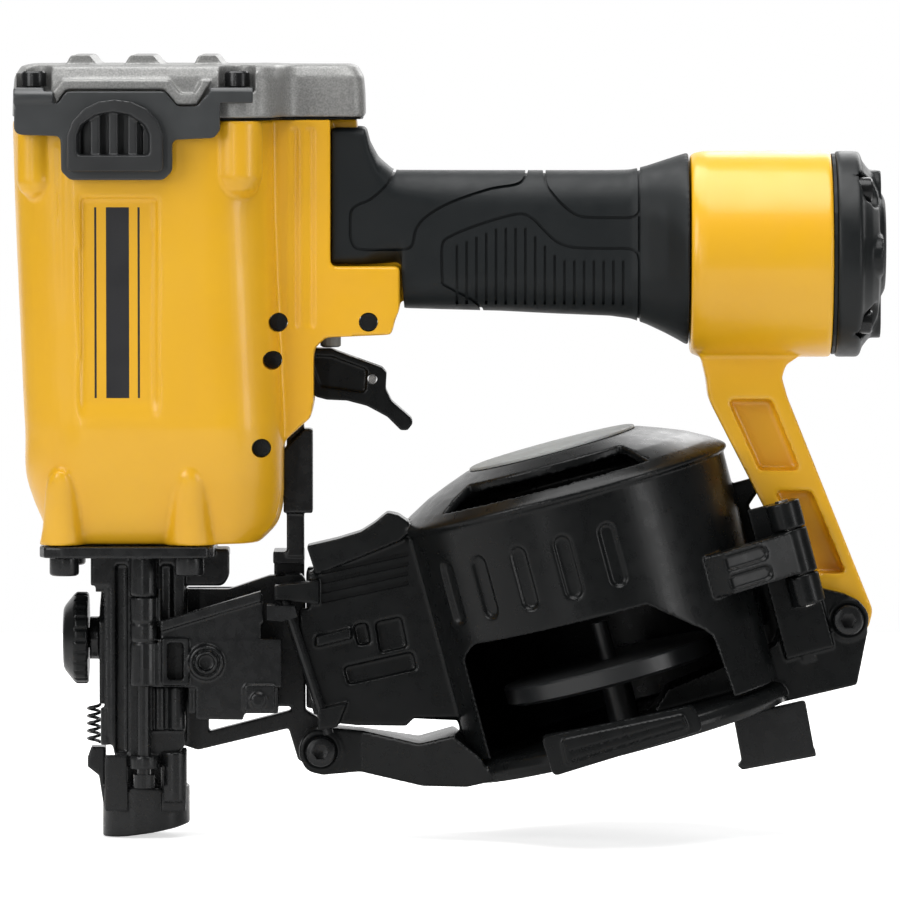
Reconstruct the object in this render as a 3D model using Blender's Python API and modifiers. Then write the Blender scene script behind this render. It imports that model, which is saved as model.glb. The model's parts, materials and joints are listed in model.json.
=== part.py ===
"""Coil roofing nailer, built as separate castings, shells, pins and mechanism parts.

Run with:  blender --background --python part.py
Lengths are written in millimetres and turned into metres by mm().
Frame: +X from the barrel to the air inlet, +Z up, Y across the tool, origin under the middle.
"""
import math

import bmesh
import bpy
from mathutils import Matrix, Vector

NAME = "coil_nailer"
CLEARANCE = 0.3          # gap left between neighbouring solids

# Driving dimensions
AXIS_X = -98.0           # the piston, blade and nose share this vertical axis
BARREL_TOP = 230.3
CAP_BOTTOM = 230.7
CAP_TOP = 246.9
PISTON_R = 23.2
SLEEVE_R = 23.5
GRIP_HALF = 18.0
COLUMN_FOOT = 206.0      # the columns under the cap bolts end here
TAIL_Z = 187.0
TAIL_R = 33.0
TAIL_END = 122.0
ARM_HALF = 8.5
NOSE_HALF = 13.0
DOOR_PIN = (-97.8, -17.6)
RAIL_INNER = 3.6
KNOB_Z = 63.6
TRIGGER_PIVOT = (-56.5, 154.0)

# The magazine leans: its own axis w points up and towards the barrel
MAG_TILT = math.radians(15.0)
MAG_CENTRE = (36.4, 0.0, 111.1)
MAG_RIM_R = 54.3
MAG_WALL_R = 52.9
MAG_WALL_T = 2.0
MAG_FLOOR = -83.0        # underside of the magazine below its rim plane
MAG_HINGE = (66.3, -23.0)
MAG_MATRIX = Matrix.Translation(Vector(MAG_CENTRE) * 0.001) @ Matrix.Rotation(-MAG_TILT, 4, "Y")


def mm(*values):
    """A vector, or one number, from millimetres to metres."""
    if len(values) == 1:
        return values[0] * 0.001
    return Vector(values) * 0.001


# ---------------------------------------------------------------- scene and materials

def clear_scene():
    for obj in list(bpy.data.objects):
        bpy.data.objects.remove(obj, do_unlink=True)


def make_collection(name):
    group = bpy.data.collections.new(name)
    bpy.context.scene.collection.children.link(group)
    return group


def make_material(name, colour, roughness, metallic=0.0):
    material = bpy.data.materials.new(name)
    material.use_nodes = True
    material.diffuse_color = (*colour, 1.0)
    shader = material.node_tree.nodes["Principled BSDF"]
    shader.inputs["Base Color"].default_value = (*colour, 1.0)
    shader.inputs["Roughness"].default_value = roughness
    shader.inputs["Metallic"].default_value = metallic
    return material


clear_scene()
PARTS = make_collection(NAME)
CUTTERS = make_collection("cutters")

YELLOW = make_material("yellow_paint", (0.76, 0.40, 0.035), 0.35)
CAST = make_material("cast_aluminium", (0.42, 0.42, 0.40), 0.45, 0.8)
RUBBER = make_material("grip_rubber", (0.018, 0.022, 0.024), 0.6)
BLACK = make_material("black_plastic", (0.02, 0.022, 0.024), 0.4)
STEEL = make_material("bright_steel", (0.6, 0.6, 0.58), 0.28, 1.0)
DARK = make_material("black_steel", (0.035, 0.035, 0.038), 0.38, 0.7)
GREY = make_material("grey_trim", (0.30, 0.32, 0.33), 0.5)


# ---------------------------------------------------------------- modelling helpers

def place(obj, material, group=PARTS):
    """Put a new object in its collection with one material."""
    for old in list(obj.users_collection):
        old.objects.unlink(obj)
    group.objects.link(obj)
    obj.data.materials.clear()
    obj.data.materials.append(material)
    return obj


def finish_mesh(obj, angle=35.0):
    """Smooth shading with sharp edges kept."""
    obj.data.shade_smooth()
    obj.data.set_sharp_from_angle(angle=math.radians(angle))
    return obj


def from_bmesh(name, bm, material, matrix=None):
    bmesh.ops.recalc_face_normals(bm, faces=bm.faces)
    mesh = bpy.data.meshes.new(name)
    bm.to_mesh(mesh)
    bm.free()
    obj = bpy.data.objects.new(name, mesh)
    if matrix is not None:
        obj.matrix_world = matrix
    place(obj, material)
    return finish_mesh(obj)


def rounded(points, radius, steps=2):
    """The outline with each corner replaced by an arc of the given radius."""
    result = []
    count = len(points)
    for index, point in enumerate(points):
        corner = Vector(point[:2])
        size = point[2] if len(point) > 2 else radius
        before = Vector(points[index - 1][:2]) - corner
        after = Vector(points[(index + 1) % count][:2]) - corner
        turn = math.pi - before.angle(after, math.pi)
        if size <= 0.0 or turn < 0.15:
            result.append(tuple(corner))
            continue
        reach = size * math.tan(turn / 2.0)
        reach = min(reach, 0.45 * before.length, 0.45 * after.length)
        start = corner + before.normalized() * reach
        end = corner + after.normalized() * reach
        for step in range(steps + 1):
            t = step / steps
            result.append(tuple(start * (1 - t) ** 2 + corner * 2 * t * (1 - t) + end * t * t))
    return result


def slot_outline(centre, length, width, angle=0.0, steps=5):
    """A stadium outline, its long side turned by angle degrees."""
    radius = width / 2.0
    half = length / 2.0 - radius
    turn = math.radians(angle)
    points = []
    for side in (1, -1):
        for step in range(steps + 1):
            a = math.pi * step / steps - math.pi / 2.0
            x = side * (half + radius * math.cos(a))
            y = side * radius * math.sin(a)
            points.append((centre[0] + x * math.cos(turn) - y * math.sin(turn),
                           centre[1] + x * math.sin(turn) + y * math.cos(turn)))
    return points


def sector_outline(inner, outer, start, end, steps=8):
    """The outline between two radii and two angles in degrees."""
    angles = [math.radians(start + (end - start) * step / steps) for step in range(steps + 1)]
    return ([(outer * math.cos(a), outer * math.sin(a)) for a in angles]
            + [(inner * math.cos(a), inner * math.sin(a)) for a in reversed(angles)])


def curve_to_mesh(curve_obj, name, material, matrix):
    """Turn a curve object into a welded mesh object."""
    PARTS.objects.link(curve_obj)
    bpy.context.view_layer.update()
    graph = bpy.context.evaluated_depsgraph_get()
    mesh = bpy.data.meshes.new_from_object(curve_obj.evaluated_get(graph))
    bpy.data.objects.remove(curve_obj, do_unlink=True)
    bm = bmesh.new()
    bm.from_mesh(mesh)
    bmesh.ops.remove_doubles(bm, verts=bm.verts, dist=0.00001)
    bpy.data.meshes.remove(mesh)
    return from_bmesh(name, bm, material, matrix)


def plate(name, outline, low, high, material, plane="XZ", matrix=None, bevel=0.0, segments=2):
    """A flat outline given thickness between low and high along the plane's normal.

    XZ outlines thicken along Y, XY outlines along Z and YZ outlines along X."""
    curve = bpy.data.curves.new(name, "CURVE")
    curve.dimensions = "2D"
    curve.fill_mode = "BOTH"
    curve.extrude = mm((high - low) / 2.0)
    spline = curve.splines.new("POLY")
    spline.points.add(len(outline) - 1)
    for point, (a, b) in zip(spline.points, outline):
        point.co = (mm(a), mm(b), 0.0, 1.0)
    spline.use_cyclic_u = True
    middle = mm((high + low) / 2.0)
    if plane == "XZ":
        turn = Matrix(((1, 0, 0, 0), (0, 0, -1, middle), (0, 1, 0, 0), (0, 0, 0, 1)))
    elif plane == "YZ":
        turn = Matrix(((0, 0, 1, middle), (1, 0, 0, 0), (0, 1, 0, 0), (0, 0, 0, 1)))
    else:
        turn = Matrix.Translation((0.0, 0.0, middle))
    if matrix is not None:
        turn = matrix @ turn
    obj = curve_to_mesh(bpy.data.objects.new(name, curve), name, material, turn)
    if bevel > 0.0:
        add_bevel(obj, bevel, segments)
    return obj


def block(name, low, high, material, matrix=None, bevel=0.0, segments=2):
    """A box between two corners."""
    bm = bmesh.new()
    bmesh.ops.create_cube(bm, size=1.0)
    size = Vector(high) - Vector(low)
    middle = (Vector(high) + Vector(low)) / 2.0
    bmesh.ops.scale(bm, vec=size * 0.001, verts=bm.verts)
    bmesh.ops.translate(bm, vec=middle * 0.001, verts=bm.verts)
    obj = from_bmesh(name, bm, material, matrix)
    if bevel > 0.0:
        add_bevel(obj, bevel, segments)
    return obj


def turned(name, profile, start, direction, material, steps=32, matrix=None):
    """A solid of revolution. The profile lists (radius, height) from top to bottom."""
    mesh = bpy.data.meshes.new(name)
    bm = bmesh.new()
    verts = [bm.verts.new((mm(r), 0.0, mm(h))) for r, h in profile]
    for first, second in zip(verts, verts[1:]):
        bm.edges.new((first, second))
    closed = profile[0][0] > 0.0 and profile[-1][0] > 0.0
    if closed:
        bm.edges.new((verts[-1], verts[0]))
    bm.to_mesh(mesh)
    bm.free()
    obj = bpy.data.objects.new(name, mesh)
    screw = obj.modifiers.new("turn", "SCREW")
    screw.axis = "Z"
    screw.steps = steps
    screw.render_steps = steps
    screw.use_merge_vertices = True
    screw.merge_threshold = 0.00001
    screw.use_smooth_shade = True
    turn = Matrix.Translation(mm(*start)) @ Vector(direction).to_track_quat("Z", "Y").to_matrix().to_4x4()
    PARTS.objects.link(obj)
    bpy.context.view_layer.update()
    graph = bpy.context.evaluated_depsgraph_get()
    solid = bpy.data.meshes.new_from_object(obj.evaluated_get(graph))
    bpy.data.objects.remove(obj, do_unlink=True)
    bm = bmesh.new()
    bm.from_mesh(solid)
    bpy.data.meshes.remove(solid)
    bmesh.ops.remove_doubles(bm, verts=bm.verts, dist=0.00001)
    if matrix is not None:
        turn = matrix @ turn
    return from_bmesh(name, bm, material, turn)


def rod(name, start, end, radius, material, sides=16, matrix=None, bevel=0.0):
    """A plain cylinder between two points."""
    a = Vector(start)
    b = Vector(end)
    length = (b - a).length
    bm = bmesh.new()
    bmesh.ops.create_cone(bm, cap_ends=True, segments=sides, radius1=mm(radius), radius2=mm(radius),
                          depth=mm(length))
    turn = Matrix.Translation((a + b) * 0.0005) @ (b - a).to_track_quat("Z", "Y").to_matrix().to_4x4()
    if matrix is not None:
        turn = matrix @ turn
    obj = from_bmesh(name, bm, material, turn)
    if bevel > 0.0:
        add_bevel(obj, bevel, 1)
    return obj


def ring_points(half_x, half_y, corner, centre_x, centre_y, steps=4):
    """A rounded rectangle as a ring of points with the same count for any size."""
    points = []
    for quarter in range(4):
        sign_x = (1, -1, -1, 1)[quarter]
        sign_y = (1, 1, -1, -1)[quarter]
        for step in range(steps + 1):
            a = math.pi / 2.0 * (quarter + step / steps)
            x = centre_x + sign_x * (half_x - corner) + corner * math.cos(a)
            y = centre_y + sign_y * (half_y - corner) + corner * math.sin(a)
            points.append((x, y))
    return points


def loft(name, rings, material, matrix=None):
    """A closed solid bridged through rings of points that are given from one end to the other."""
    bm = bmesh.new()
    loops = []
    for ring in rings:
        verts = [bm.verts.new(mm(*point)) for point in ring]
        edges = [bm.edges.new((verts[i], verts[(i + 1) % len(verts)])) for i in range(len(verts))]
        loops.append((verts, edges))
    for (_, first), (_, second) in zip(loops, loops[1:]):
        bmesh.ops.bridge_loops(bm, edges=first + second)
    bm.faces.new(loops[0][0])
    bm.faces.new(loops[-1][0])
    return from_bmesh(name, bm, material, matrix)


def add_bevel(obj, width, segments=2, angle=32.0):
    bevel = obj.modifiers.new("round", "BEVEL")
    bevel.width = mm(width)
    bevel.segments = segments
    bevel.limit_method = "ANGLE"
    bevel.angle_limit = math.radians(angle)
    bevel.use_clamp_overlap = True


def boolean(target, tool, operation):
    step = target.modifiers.new(operation.lower(), "BOOLEAN")
    step.operation = operation
    step.solver = "EXACT"
    step.object = tool
    tool.hide_render = True
    tool.display_type = "WIRE"
    for old in list(tool.users_collection):
        old.objects.unlink(tool)
    CUTTERS.objects.link(tool)


def join(target, *tools):
    for tool in tools:
        boolean(target, tool, "UNION")
    return target


def cut(target, *tools):
    for tool in tools:
        boolean(target, tool, "DIFFERENCE")
    return target


def set_origin(obj, x, y, z):
    """Move a moving piece's origin to its joint axis without moving the piece."""
    target = Matrix.Translation(mm(x, y, z))
    obj.data.transform(target.inverted() @ obj.matrix_world)
    obj.matrix_world = target
    return obj


# ---------------------------------------------------------------- main casting

def barrel():
    """The engine housing: a rounded square that narrows towards the nose."""
    levels = ((95.3, -129.2, -61.0, 30.5, 16.0), (101.4, -130.0, -54.6, 33.5, 18.0),
              (109.0, -133.0, -53.2, 36.5, 19.0), (118.2, -135.6, -53.1, 39.0, 20.0),
              (131.0, -135.5, -53.1, 40.0, 21.0), (141.0, -136.0, -53.6, 40.3, 21.0),
              (175.0, -137.4, -55.2, 41.0, 21.5), (202.4, -138.5, -56.2, 41.5, 22.0),
              (BARREL_TOP + 2.0, -139.5, -56.6, 41.8, 22.0))
    rings = []
    for z, left, right, half_y, corner in levels:
        ring = ring_points((right - left) / 2.0, half_y, corner, (left + right) / 2.0, 0.0)
        rings.append([(x, y, z) for x, y in ring])
    return loft("main_housing", rings, YELLOW)


def housing_root():
    """The web that carries the handle, the trigger guard cheeks and the pins."""
    outline = [(-75, 96.6), (-62.4, 96.6), (-58.0, 99.2), (-55.4, 103.4), (-53.9, 110.0), (-53.9, 124.6),
               (-52.2, 128.4), (-44.4, 135.4), (-43.5, 139.7), (-43.5, 154.3), (-42.9, 157.7), (-39.5, 160.9),
               (-18.6, 161.8), (-17.4, 166.5), (-16.0, 170.0), (-16.0, 183.6), (-38.1, 183.6), (-38.1, BARREL_TOP + 3),
               (-75, BARREL_TOP + 3)]
    return plate("root", outline, -21.0, 21.0, YELLOW, bevel=1.5, segments=1)


def handle_core():
    outline = [(-60, 165), (-12, 172.4), (52, 171), (63, 169), (70, 165), (79, 160), (90, 160), (90, 216), (79, 216),
               (68, 213.5), (60, 210.3), (-18, 210.3), (-24, 214), (-29, 222), (-30, BARREL_TOP + 4),
               (-60, BARREL_TOP + 4)]
    return plate("core", outline, -14.5, 14.5, YELLOW)


def tail_barrel():
    profile = [(0.0, TAIL_END), (TAIL_R - 0.5, TAIL_END), (TAIL_R, TAIL_END - 1.0), (TAIL_R, 81.0),
               (TAIL_R - 1.2, 76.8), (0.0, 76.8)]
    return turned("tail", profile, (0, 0, TAIL_Z), (1, 0, 0), YELLOW, steps=32)


def arm():
    """The strut from the tail down to the magazine's rear bolt."""
    outline = [(78, 168), (78, 157.5), (81.3, 152), (82.7, 141.3), (84.0, 138.2), (100.4, 106.3), (119.4, 75.5),
               (127.3, 64.3, 4), (133.9, 66.0, 5), (135.6, 73.0, 4), (108.1, 141.3), (106.3, 147.6), (107.2, 151.5),
               (112, 154.4), (112, 168)]
    solid = plate("arm", rounded(outline, 0.0), -ARM_HALF, ARM_HALF, YELLOW)
    pockets = ([(89.2, 140.4), (102.6, 140.4), (112.0, 118.2), (99.4, 118.2)],
               [(104.2, 111.0), (115.5, 111.0), (126.6, 85.0), (117.6, 85.0)])
    for number, pocket in enumerate(pockets):
        for side in (-1, 1):
            low, high = sorted((side * 5.0, side * (ARM_HALF + 2.0)))
            tool = plate(f"arm_pocket_{number}_{side}", pocket, low, high, YELLOW)
            cut(solid, tool)
    return solid


def bolt_columns():
    """Half round columns under the cap bolts, with rounded feet."""
    columns = []
    for x, radius, foot in ((-131.6, 5.6, COLUMN_FOOT), (-67.3, 7.8, COLUMN_FOOT)):
        for side in (-1, 1):
            profile = [(0.0, BARREL_TOP + 1), (radius, BARREL_TOP + 1), (radius, foot + radius),
                       (radius * 0.7, foot + 1.8), (0.0, foot)]
            columns.append(turned(f"column_{x}_{side}", profile, (x, side * 34.9, 0), (0, 0, 1), YELLOW, 12))
    return columns


def nose_bolt_bosses():
    bosses = []
    for x, radius, top in ((-122.8, 6.0, 118.0), (-83.0, 6.6, 118.0)):
        for side in (-1, 1):
            profile = [(0.0, top), (radius * 0.55, top - 5.0), (radius, top - 13.0), (radius, 95.1), (0.0, 95.1)]
            bosses.append(turned(f"boss_{x}_{side}", profile, (x, side * 27.7, 0), (0, 0, 1), YELLOW, 12))
    return bosses


def main_housing():
    body = barrel()
    join(body, housing_root(), handle_core(), tail_barrel(), arm())
    join(body, *bolt_columns(), *nose_bolt_bosses())
    cut(body, block("flat_top", (-150, -60, BARREL_TOP), (0, 60, 240), YELLOW))
    bore = [(0, 233), (31.5, 233), (31.5, 121.5), (26.5, 121.5), (26.5, 105.0), (9.0, 105.0), (9.0, 90.0), (0, 90.0)]
    cut(body, turned("main_bore", bore, (AXIS_X, 0, 0), (0, 0, 1), YELLOW, 32))
    cut(body, rod("air_passage", (-80, 0, 191), (104, 0, 191), 9.0, YELLOW, 16))
    cut(body, rod("tail_chamber", (98, 0, TAIL_Z), (126, 0, TAIL_Z), 26.0, YELLOW, 28))
    slot = [(-62.0, 139), (-62.0, 161.5), (-10, 161.5), (-10, 120), (-53.0, 120), (-53.0, 139)]
    cut(body, plate("trigger_slot", slot, -6.3, 6.3, YELLOW))
    cut(body, rod("valve_bore", (-38.3, 0, 150), (-38.3, 0, 178), 6.8, YELLOW, 16))
    for x, z, radius in ((-54.7, 165.9, 2.8), (-26.0, 165.9, 2.8), (-59.9, 126.3, 2.8)):
        cut(body, rod(f"pin_hole_{x}", (x, -60, z), (x, 60, z), radius + CLEARANCE, YELLOW, 14))
    cut(body, rod("trigger_pin_hole", (-56.5, -60, 154), (-56.5, 60, 154), 3.1, YELLOW, 14))
    cut(body, rod("rear_bolt_hole", (127.4, -20, 70.3), (127.4, 20, 70.3), 3.4, YELLOW, 14))
    return body


def cross_pins():
    """Roll pins through the root of the handle."""
    half = 21.2
    rod("trigger_pin", (-56.5, -half, 154.0), (-56.5, half, 154.0), 2.8, DARK, 14)
    rod("valve_pin_front", (-54.7, -half, 165.9), (-54.7, half, 165.9), 2.8, DARK, 14)
    rod("valve_pin_rear", (-26.0, -half, 165.9), (-26.0, half, 165.9), 2.8, DARK, 14)
    rod("guide_pin", (-59.9, -half, 126.3), (-59.9, half, 126.3), 2.8, DARK, 14)


# ---------------------------------------------------------------- cylinder cap and exhaust

def cap_outline(grow=0.0):
    """Plan of the cap: the rounded square over the barrel and the neck over the handle."""
    left = -139.3 - grow
    half = 41.8 + grow
    neck = 21.0 + grow
    right = -27.0 + grow
    points = [(left, -half, 22), (-56.5, -half, 22), (-52.0, -neck, 8), (right, -neck, 6), (right, neck, 6),
              (-52.0, neck, 8), (-56.5, half, 22), (left, half, 22)]
    return rounded(points, 8.0, 3)


def top_cap():
    cap = plate("top_cap", cap_outline(), CAP_BOTTOM + 0.5, CAP_TOP, CAST, plane="XY", bevel=2.2, segments=1)
    for x, half in ((-116.7, 6.5), (-97.1, 7.8), (-76.4, 6.0)):
        bump = block(f"cap_bump_{x}", (x - half, -27, CAP_TOP - 4), (x + half, 27, 251.0), CAST, bevel=1.4, segments=1)
        join(cap, bump)
    for x in (-131.8, -67.4):
        for side in (-1, 1):
            edge = -145.0 if x < -100.0 else -52.0
            inner = x + 7.4 if x < -100.0 else x - 7.4
            low, high = sorted((side * 27.6, side * 50.0))
            seat = block(f"bolt_seat_{x}_{side}", (min(edge, inner), low, 239.2), (max(edge, inner), high, 255.0), CAST)
            hole = rod(f"bolt_hole_{x}_{side}", (x, side * 35.0, 225), (x, side * 35.0, 255), 2.6, CAST, 10)
            cut(cap, seat, hole)
    chamber = [(0, 241), (31.3, 241), (31.3, 225), (0, 225)]
    cut(cap, turned("cap_chamber", chamber, (AXIS_X, 0, 0), (0, 0, 1), CAST, 28))
    return cap


def cap_gasket():
    gasket = plate("cap_gasket", cap_outline(-0.8), BARREL_TOP + 0.2, CAP_BOTTOM + 0.3, BLACK, plane="XY")
    cut(gasket, rod("gasket_hole", (AXIS_X, 0, 220), (AXIS_X, 0, 240), 31.5, BLACK, 28))
    for x in (-131.8, -67.4):
        for side in (-1, 1):
            cut(gasket, rod(f"gasket_bolt_{x}_{side}", (x, side * 35.0, 220), (x, side * 35.0, 240), 2.6, BLACK, 10))
    return gasket


def cap_bolts():
    number = 0
    for x in (-131.8, -67.4):
        for side in (-1, 1):
            number += 1
            lift = 0.8 if side < 0 else 0.0
            bolt_profile = [(0.0, 243.0), (1.8, 243.0), (1.8, 246.0), (3.6, 246.0), (4.0, 245.5), (4.0, 240.3 + lift),
                            (2.2, 240.3 + lift), (2.2, 231.4), (0.0, 231.4)]
            turned(f"cap_bolt_{number}", bolt_profile, (x, side * 35.0, 0), (0, 0, 1), DARK, 14)


def exhaust_shield():
    """The black cover clamped to the side of the cap under two of its bolts."""
    outline = [(-139.0, 226.0, 3), (-123.0, 225.6, 0), (-122.8, 214.5, 0), (-120.0, 211.7, 2), (-90.5, 211.7, 2),
               (-87.7, 214.5, 0), (-87.7, 224.4, 0), (-74.5, 225.0, 2), (-72.6, 227.5, 0), (-72.6, 238.5, 1),
               (-76.5, 239.0, 0), (-80.0, 234.7, 0), (-86.0, 234.7, 0), (-90.0, 239.4, 0), (-121.1, 239.6, 0),
               (-124.0, 235.4, 0), (-127.5, 236.5, 0), (-128.4, 240.0, 0), (-138.6, 240.0, 1)]
    shield = plate("exhaust_shield", rounded(outline, 0.0, 2), -46.2, -42.3, BLACK)
    for x, half in ((-133.6, 5.6), (-67.4, 5.4)):
        low, high = (x - half, x + half)
        tab = block(f"shield_tab_{x}", (low, -44.0, 239.55), (high, -29.5, 240.9), BLACK)
        join(shield, tab)
        cut(shield, rod(f"tab_hole_{x}", (-131.8 if x < -100 else x, -35.0, 230),
                        (-131.8 if x < -100 else x, -35.0, 250), 2.7, BLACK, 12))
    join(shield, block("shield_bridge", (-76.0, -46.0, 236.6), (-62.2, -42.8, 240.6), BLACK))
    port = [(-116.4, 218.0), (-97.0, 218.0), (-97.0, 228.0), (-99.8, 232.6), (-106.7, 234.4), (-113.6, 232.6),
            (-116.4, 228.0)]
    cut(shield, plate("shield_port", port, -50, -38, BLACK))
    return shield


def exhaust_grille():
    """A hood with three upright bars in front of the exhaust port."""
    outer = [(-120.8, 214.5), (-90.4, 214.5), (-90.4, 227.0), (-92.5, 231.5), (-97.5, 235.6), (-105.6, 237.3),
             (-113.7, 235.6), (-118.7, 231.5), (-120.8, 227.0)]
    grille = plate("exhaust_grille", outer, -51.5, -46.5, BLACK)
    inner = [(-117.6, 219.6), (-94.0, 219.6), (-94.0, 227.0), (-97.2, 230.6), (-105.6, 233.2), (-114.4, 230.6),
             (-117.6, 227.0)]
    cut(grille, plate("grille_window", inner, -60, -40, BLACK))
    for x in (-111.9, -106.0, -100.1):
        join(grille, block(f"bar_{x}", (x - 1.4, -50.6, 218.0), (x + 1.4, -47.2, 233.8), BLACK))
    return grille


# ---------------------------------------------------------------- engine internals

def engine():
    top = 218.0
    sleeve = [(SLEEVE_R, top), (26.0, top), (26.0, 160.0), (31.0, 158.0), (31.0, 154.0), (26.0, 152.0), (26.0, 122.0),
              (SLEEVE_R, 122.0)]
    turned("cylinder_sleeve", sleeve, (AXIS_X, 0, 0), (0, 0, 1), CAST, 36)
    bumper = [(8.0, 120.8), (20.0, 120.8), (23.0, 117.0), (26.0, 112.0), (26.0, 105.4), (8.0, 105.4)]
    turned("piston_bumper", bumper, (AXIS_X, 0, 0), (0, 0, 1), RUBBER, 28)
    piston = [(0, 216.0), (12.0, 216.0), (15.0, 214.0), (PISTON_R, 214.0), (PISTON_R, 208.5), (21.4, 208.5),
              (21.4, 206.0), (PISTON_R, 206.0), (PISTON_R, 202.0), (8.0, 202.0), (5.5, 199.4), (0, 199.4)]
    turned("piston", piston, (AXIS_X, 0, 0), (0, 0, 1), CAST, 32)
    rod("driver_blade", (AXIS_X, 0, 95.0), (AXIS_X, 0, 199.0), 2.4, STEEL, 14)
    valve = [(20.0, 231.0), (30.4, 231.0), (30.4, 226.0), (28.0, 224.0), (28.0, 219.0), (22.0, 219.0), (20.0, 222.0)]
    turned("head_valve", valve, (AXIS_X, 0, 0), (0, 0, 1), CAST, 32)
    coil_spring("head_valve_spring", (AXIS_X, 0, 231.8), 25.0, 8.0, 2, 0.8, 16)


def coil_spring(name, start, radius, height, turns, wire, per_turn=12):
    """A coil spring standing on start, its wire a round tube."""
    curve = bpy.data.curves.new(name, "CURVE")
    curve.dimensions = "3D"
    curve.bevel_depth = mm(wire)
    curve.bevel_resolution = 1
    curve.use_fill_caps = True
    count = turns * per_turn + 1
    spline = curve.splines.new("POLY")
    spline.points.add(count - 1)
    rise = height - 2.0 * wire
    for index, point in enumerate(spline.points):
        a = 2.0 * math.pi * index / per_turn
        spot = mm(radius * math.cos(a), radius * math.sin(a), wire + rise * index / (count - 1))
        point.co = (*spot, 1.0)
    return curve_to_mesh(bpy.data.objects.new(name, curve), name, STEEL, Matrix.Translation(mm(*start)))


# ---------------------------------------------------------------- handle, tail and trigger

def grip_ring(x, low, high, half_y, corner, steps=4):
    """One section of the grip across the handle, at x."""
    ring = ring_points((high - low) / 2.0, half_y, corner, (high + low) / 2.0, 0.0, steps)
    return [(x, y, z) for z, y in ring]


def grip_sleeve():
    """Rubber overmould: handle, flare at the tail and the collar round the root."""
    sections = ((-37.7, 184.2, 227.8, GRIP_HALF, 3.0), (-26.7, 184.2, 227.8, GRIP_HALF, 3.0),
                (-25.6, 184.2, 222.8, GRIP_HALF, 4.0), (-22.9, 184.2, 217.9, GRIP_HALF, 5.0),
                (-18.0, 184.2, 213.8, GRIP_HALF, 7.0),
                (-15.5, 184.2, 213.8, GRIP_HALF, 7.5), (-15.3, 169.9, 213.8, GRIP_HALF, 8.0),
                (16.1, 168.9, 213.8, GRIP_HALF, 9.0),
                (51.3, 167.3, 213.8, GRIP_HALF, 9.0), (60.3, 166.1, 214.2, 18.6, 10.0),
                (69.3, 161.6, 217.3, 23.5, 17.0), (76.4, 157.5, 219.6, 30.4, 29.0))
    grip = loft("grip_sleeve", [grip_ring(*section) for section in sections], RUBBER)
    core = [(-60, 165), (-12, 172.1), (52, 170.7), (63, 168.7), (70, 164.7), (79, 159.6), (95, 159.6), (95, 216.4),
            (79, 216.4), (68, 213.8), (60, 210.6), (-18, 210.6), (-24, 214.4), (-28.7, 222), (-29.7, 240), (-60, 240)]
    cut(grip, plate("grip_core", core, -14.8, 14.8, RUBBER))
    root_gap = [(-75, 112), (-10, 112), (-15.7, 183.9), (-37.8, 183.9), (-37.8, 240), (-75, 240)]
    cut(grip, plate("grip_root_gap", root_gap, -21.4, 21.4, RUBBER))
    return grip


def tail_end():
    gasket = [(26.2, TAIL_END + 1.2), (TAIL_R - 0.8, TAIL_END + 1.2), (TAIL_R - 0.8, TAIL_END + 0.2),
              (26.2, TAIL_END + 0.2)]
    turned("end_cap_gasket", gasket, (0, 0, TAIL_Z), (1, 0, 0), RUBBER, 28)
    cap = [(0, 136.4), (20.0, 137.2), (24.0, 136.0), (29.0, 131.6), (TAIL_R - 0.8, 130.8), (TAIL_R, 130.0),
           (TAIL_R, 123.6), (25.6, 123.6), (25.6, 114.0), (20.0, 114.0), (20.0, 126.0), (0, 126.0)]
    body = turned("end_cap", cap, (0, 0, TAIL_Z), (1, 0, 0), BLACK, 28)
    boss = [(0, 139.45), (15.0, 139.45), (16.4, 138.4), (17.5, 128.0), (0, 128.0)]
    join(body, turned("inlet_boss", boss, (0, 0, TAIL_Z + 3), (1, 0, 0), BLACK, 20))
    cut(body, rod("inlet_bore", (120, 0, TAIL_Z + 3), (150, 0, TAIL_Z + 3), 10.3, BLACK, 20))
    angles = (50.0, 130.0, 230.0, 310.0)
    for number, angle in enumerate(angles):
        y = 27.2 * math.cos(math.radians(angle))
        z = TAIL_Z + 27.2 * math.sin(math.radians(angle))
        cut(body, rod(f"screw_seat_{number}", (129.0, y, z), (150, y, z), 4.6, BLACK, 12))
        screw = [(0, 131.5), (1.7, 131.5), (1.7, 134.6), (3.8, 134.6), (4.1, 134.2), (4.1, 129.3), (0, 129.3)]
        turned(f"end_cap_screw_{number + 1}", screw, (0, y, z), (1, 0, 0), DARK, 12)
    inlet = [(5.6, 139.3), (7.6, 139.3), (8.2, 138.8), (10.0, 138.4), (10.0, 122.0), (5.6, 122.0)]
    turned("air_inlet", inlet, (0, 0, TAIL_Z + 3), (1, 0, 0), STEEL, 20)


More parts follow.
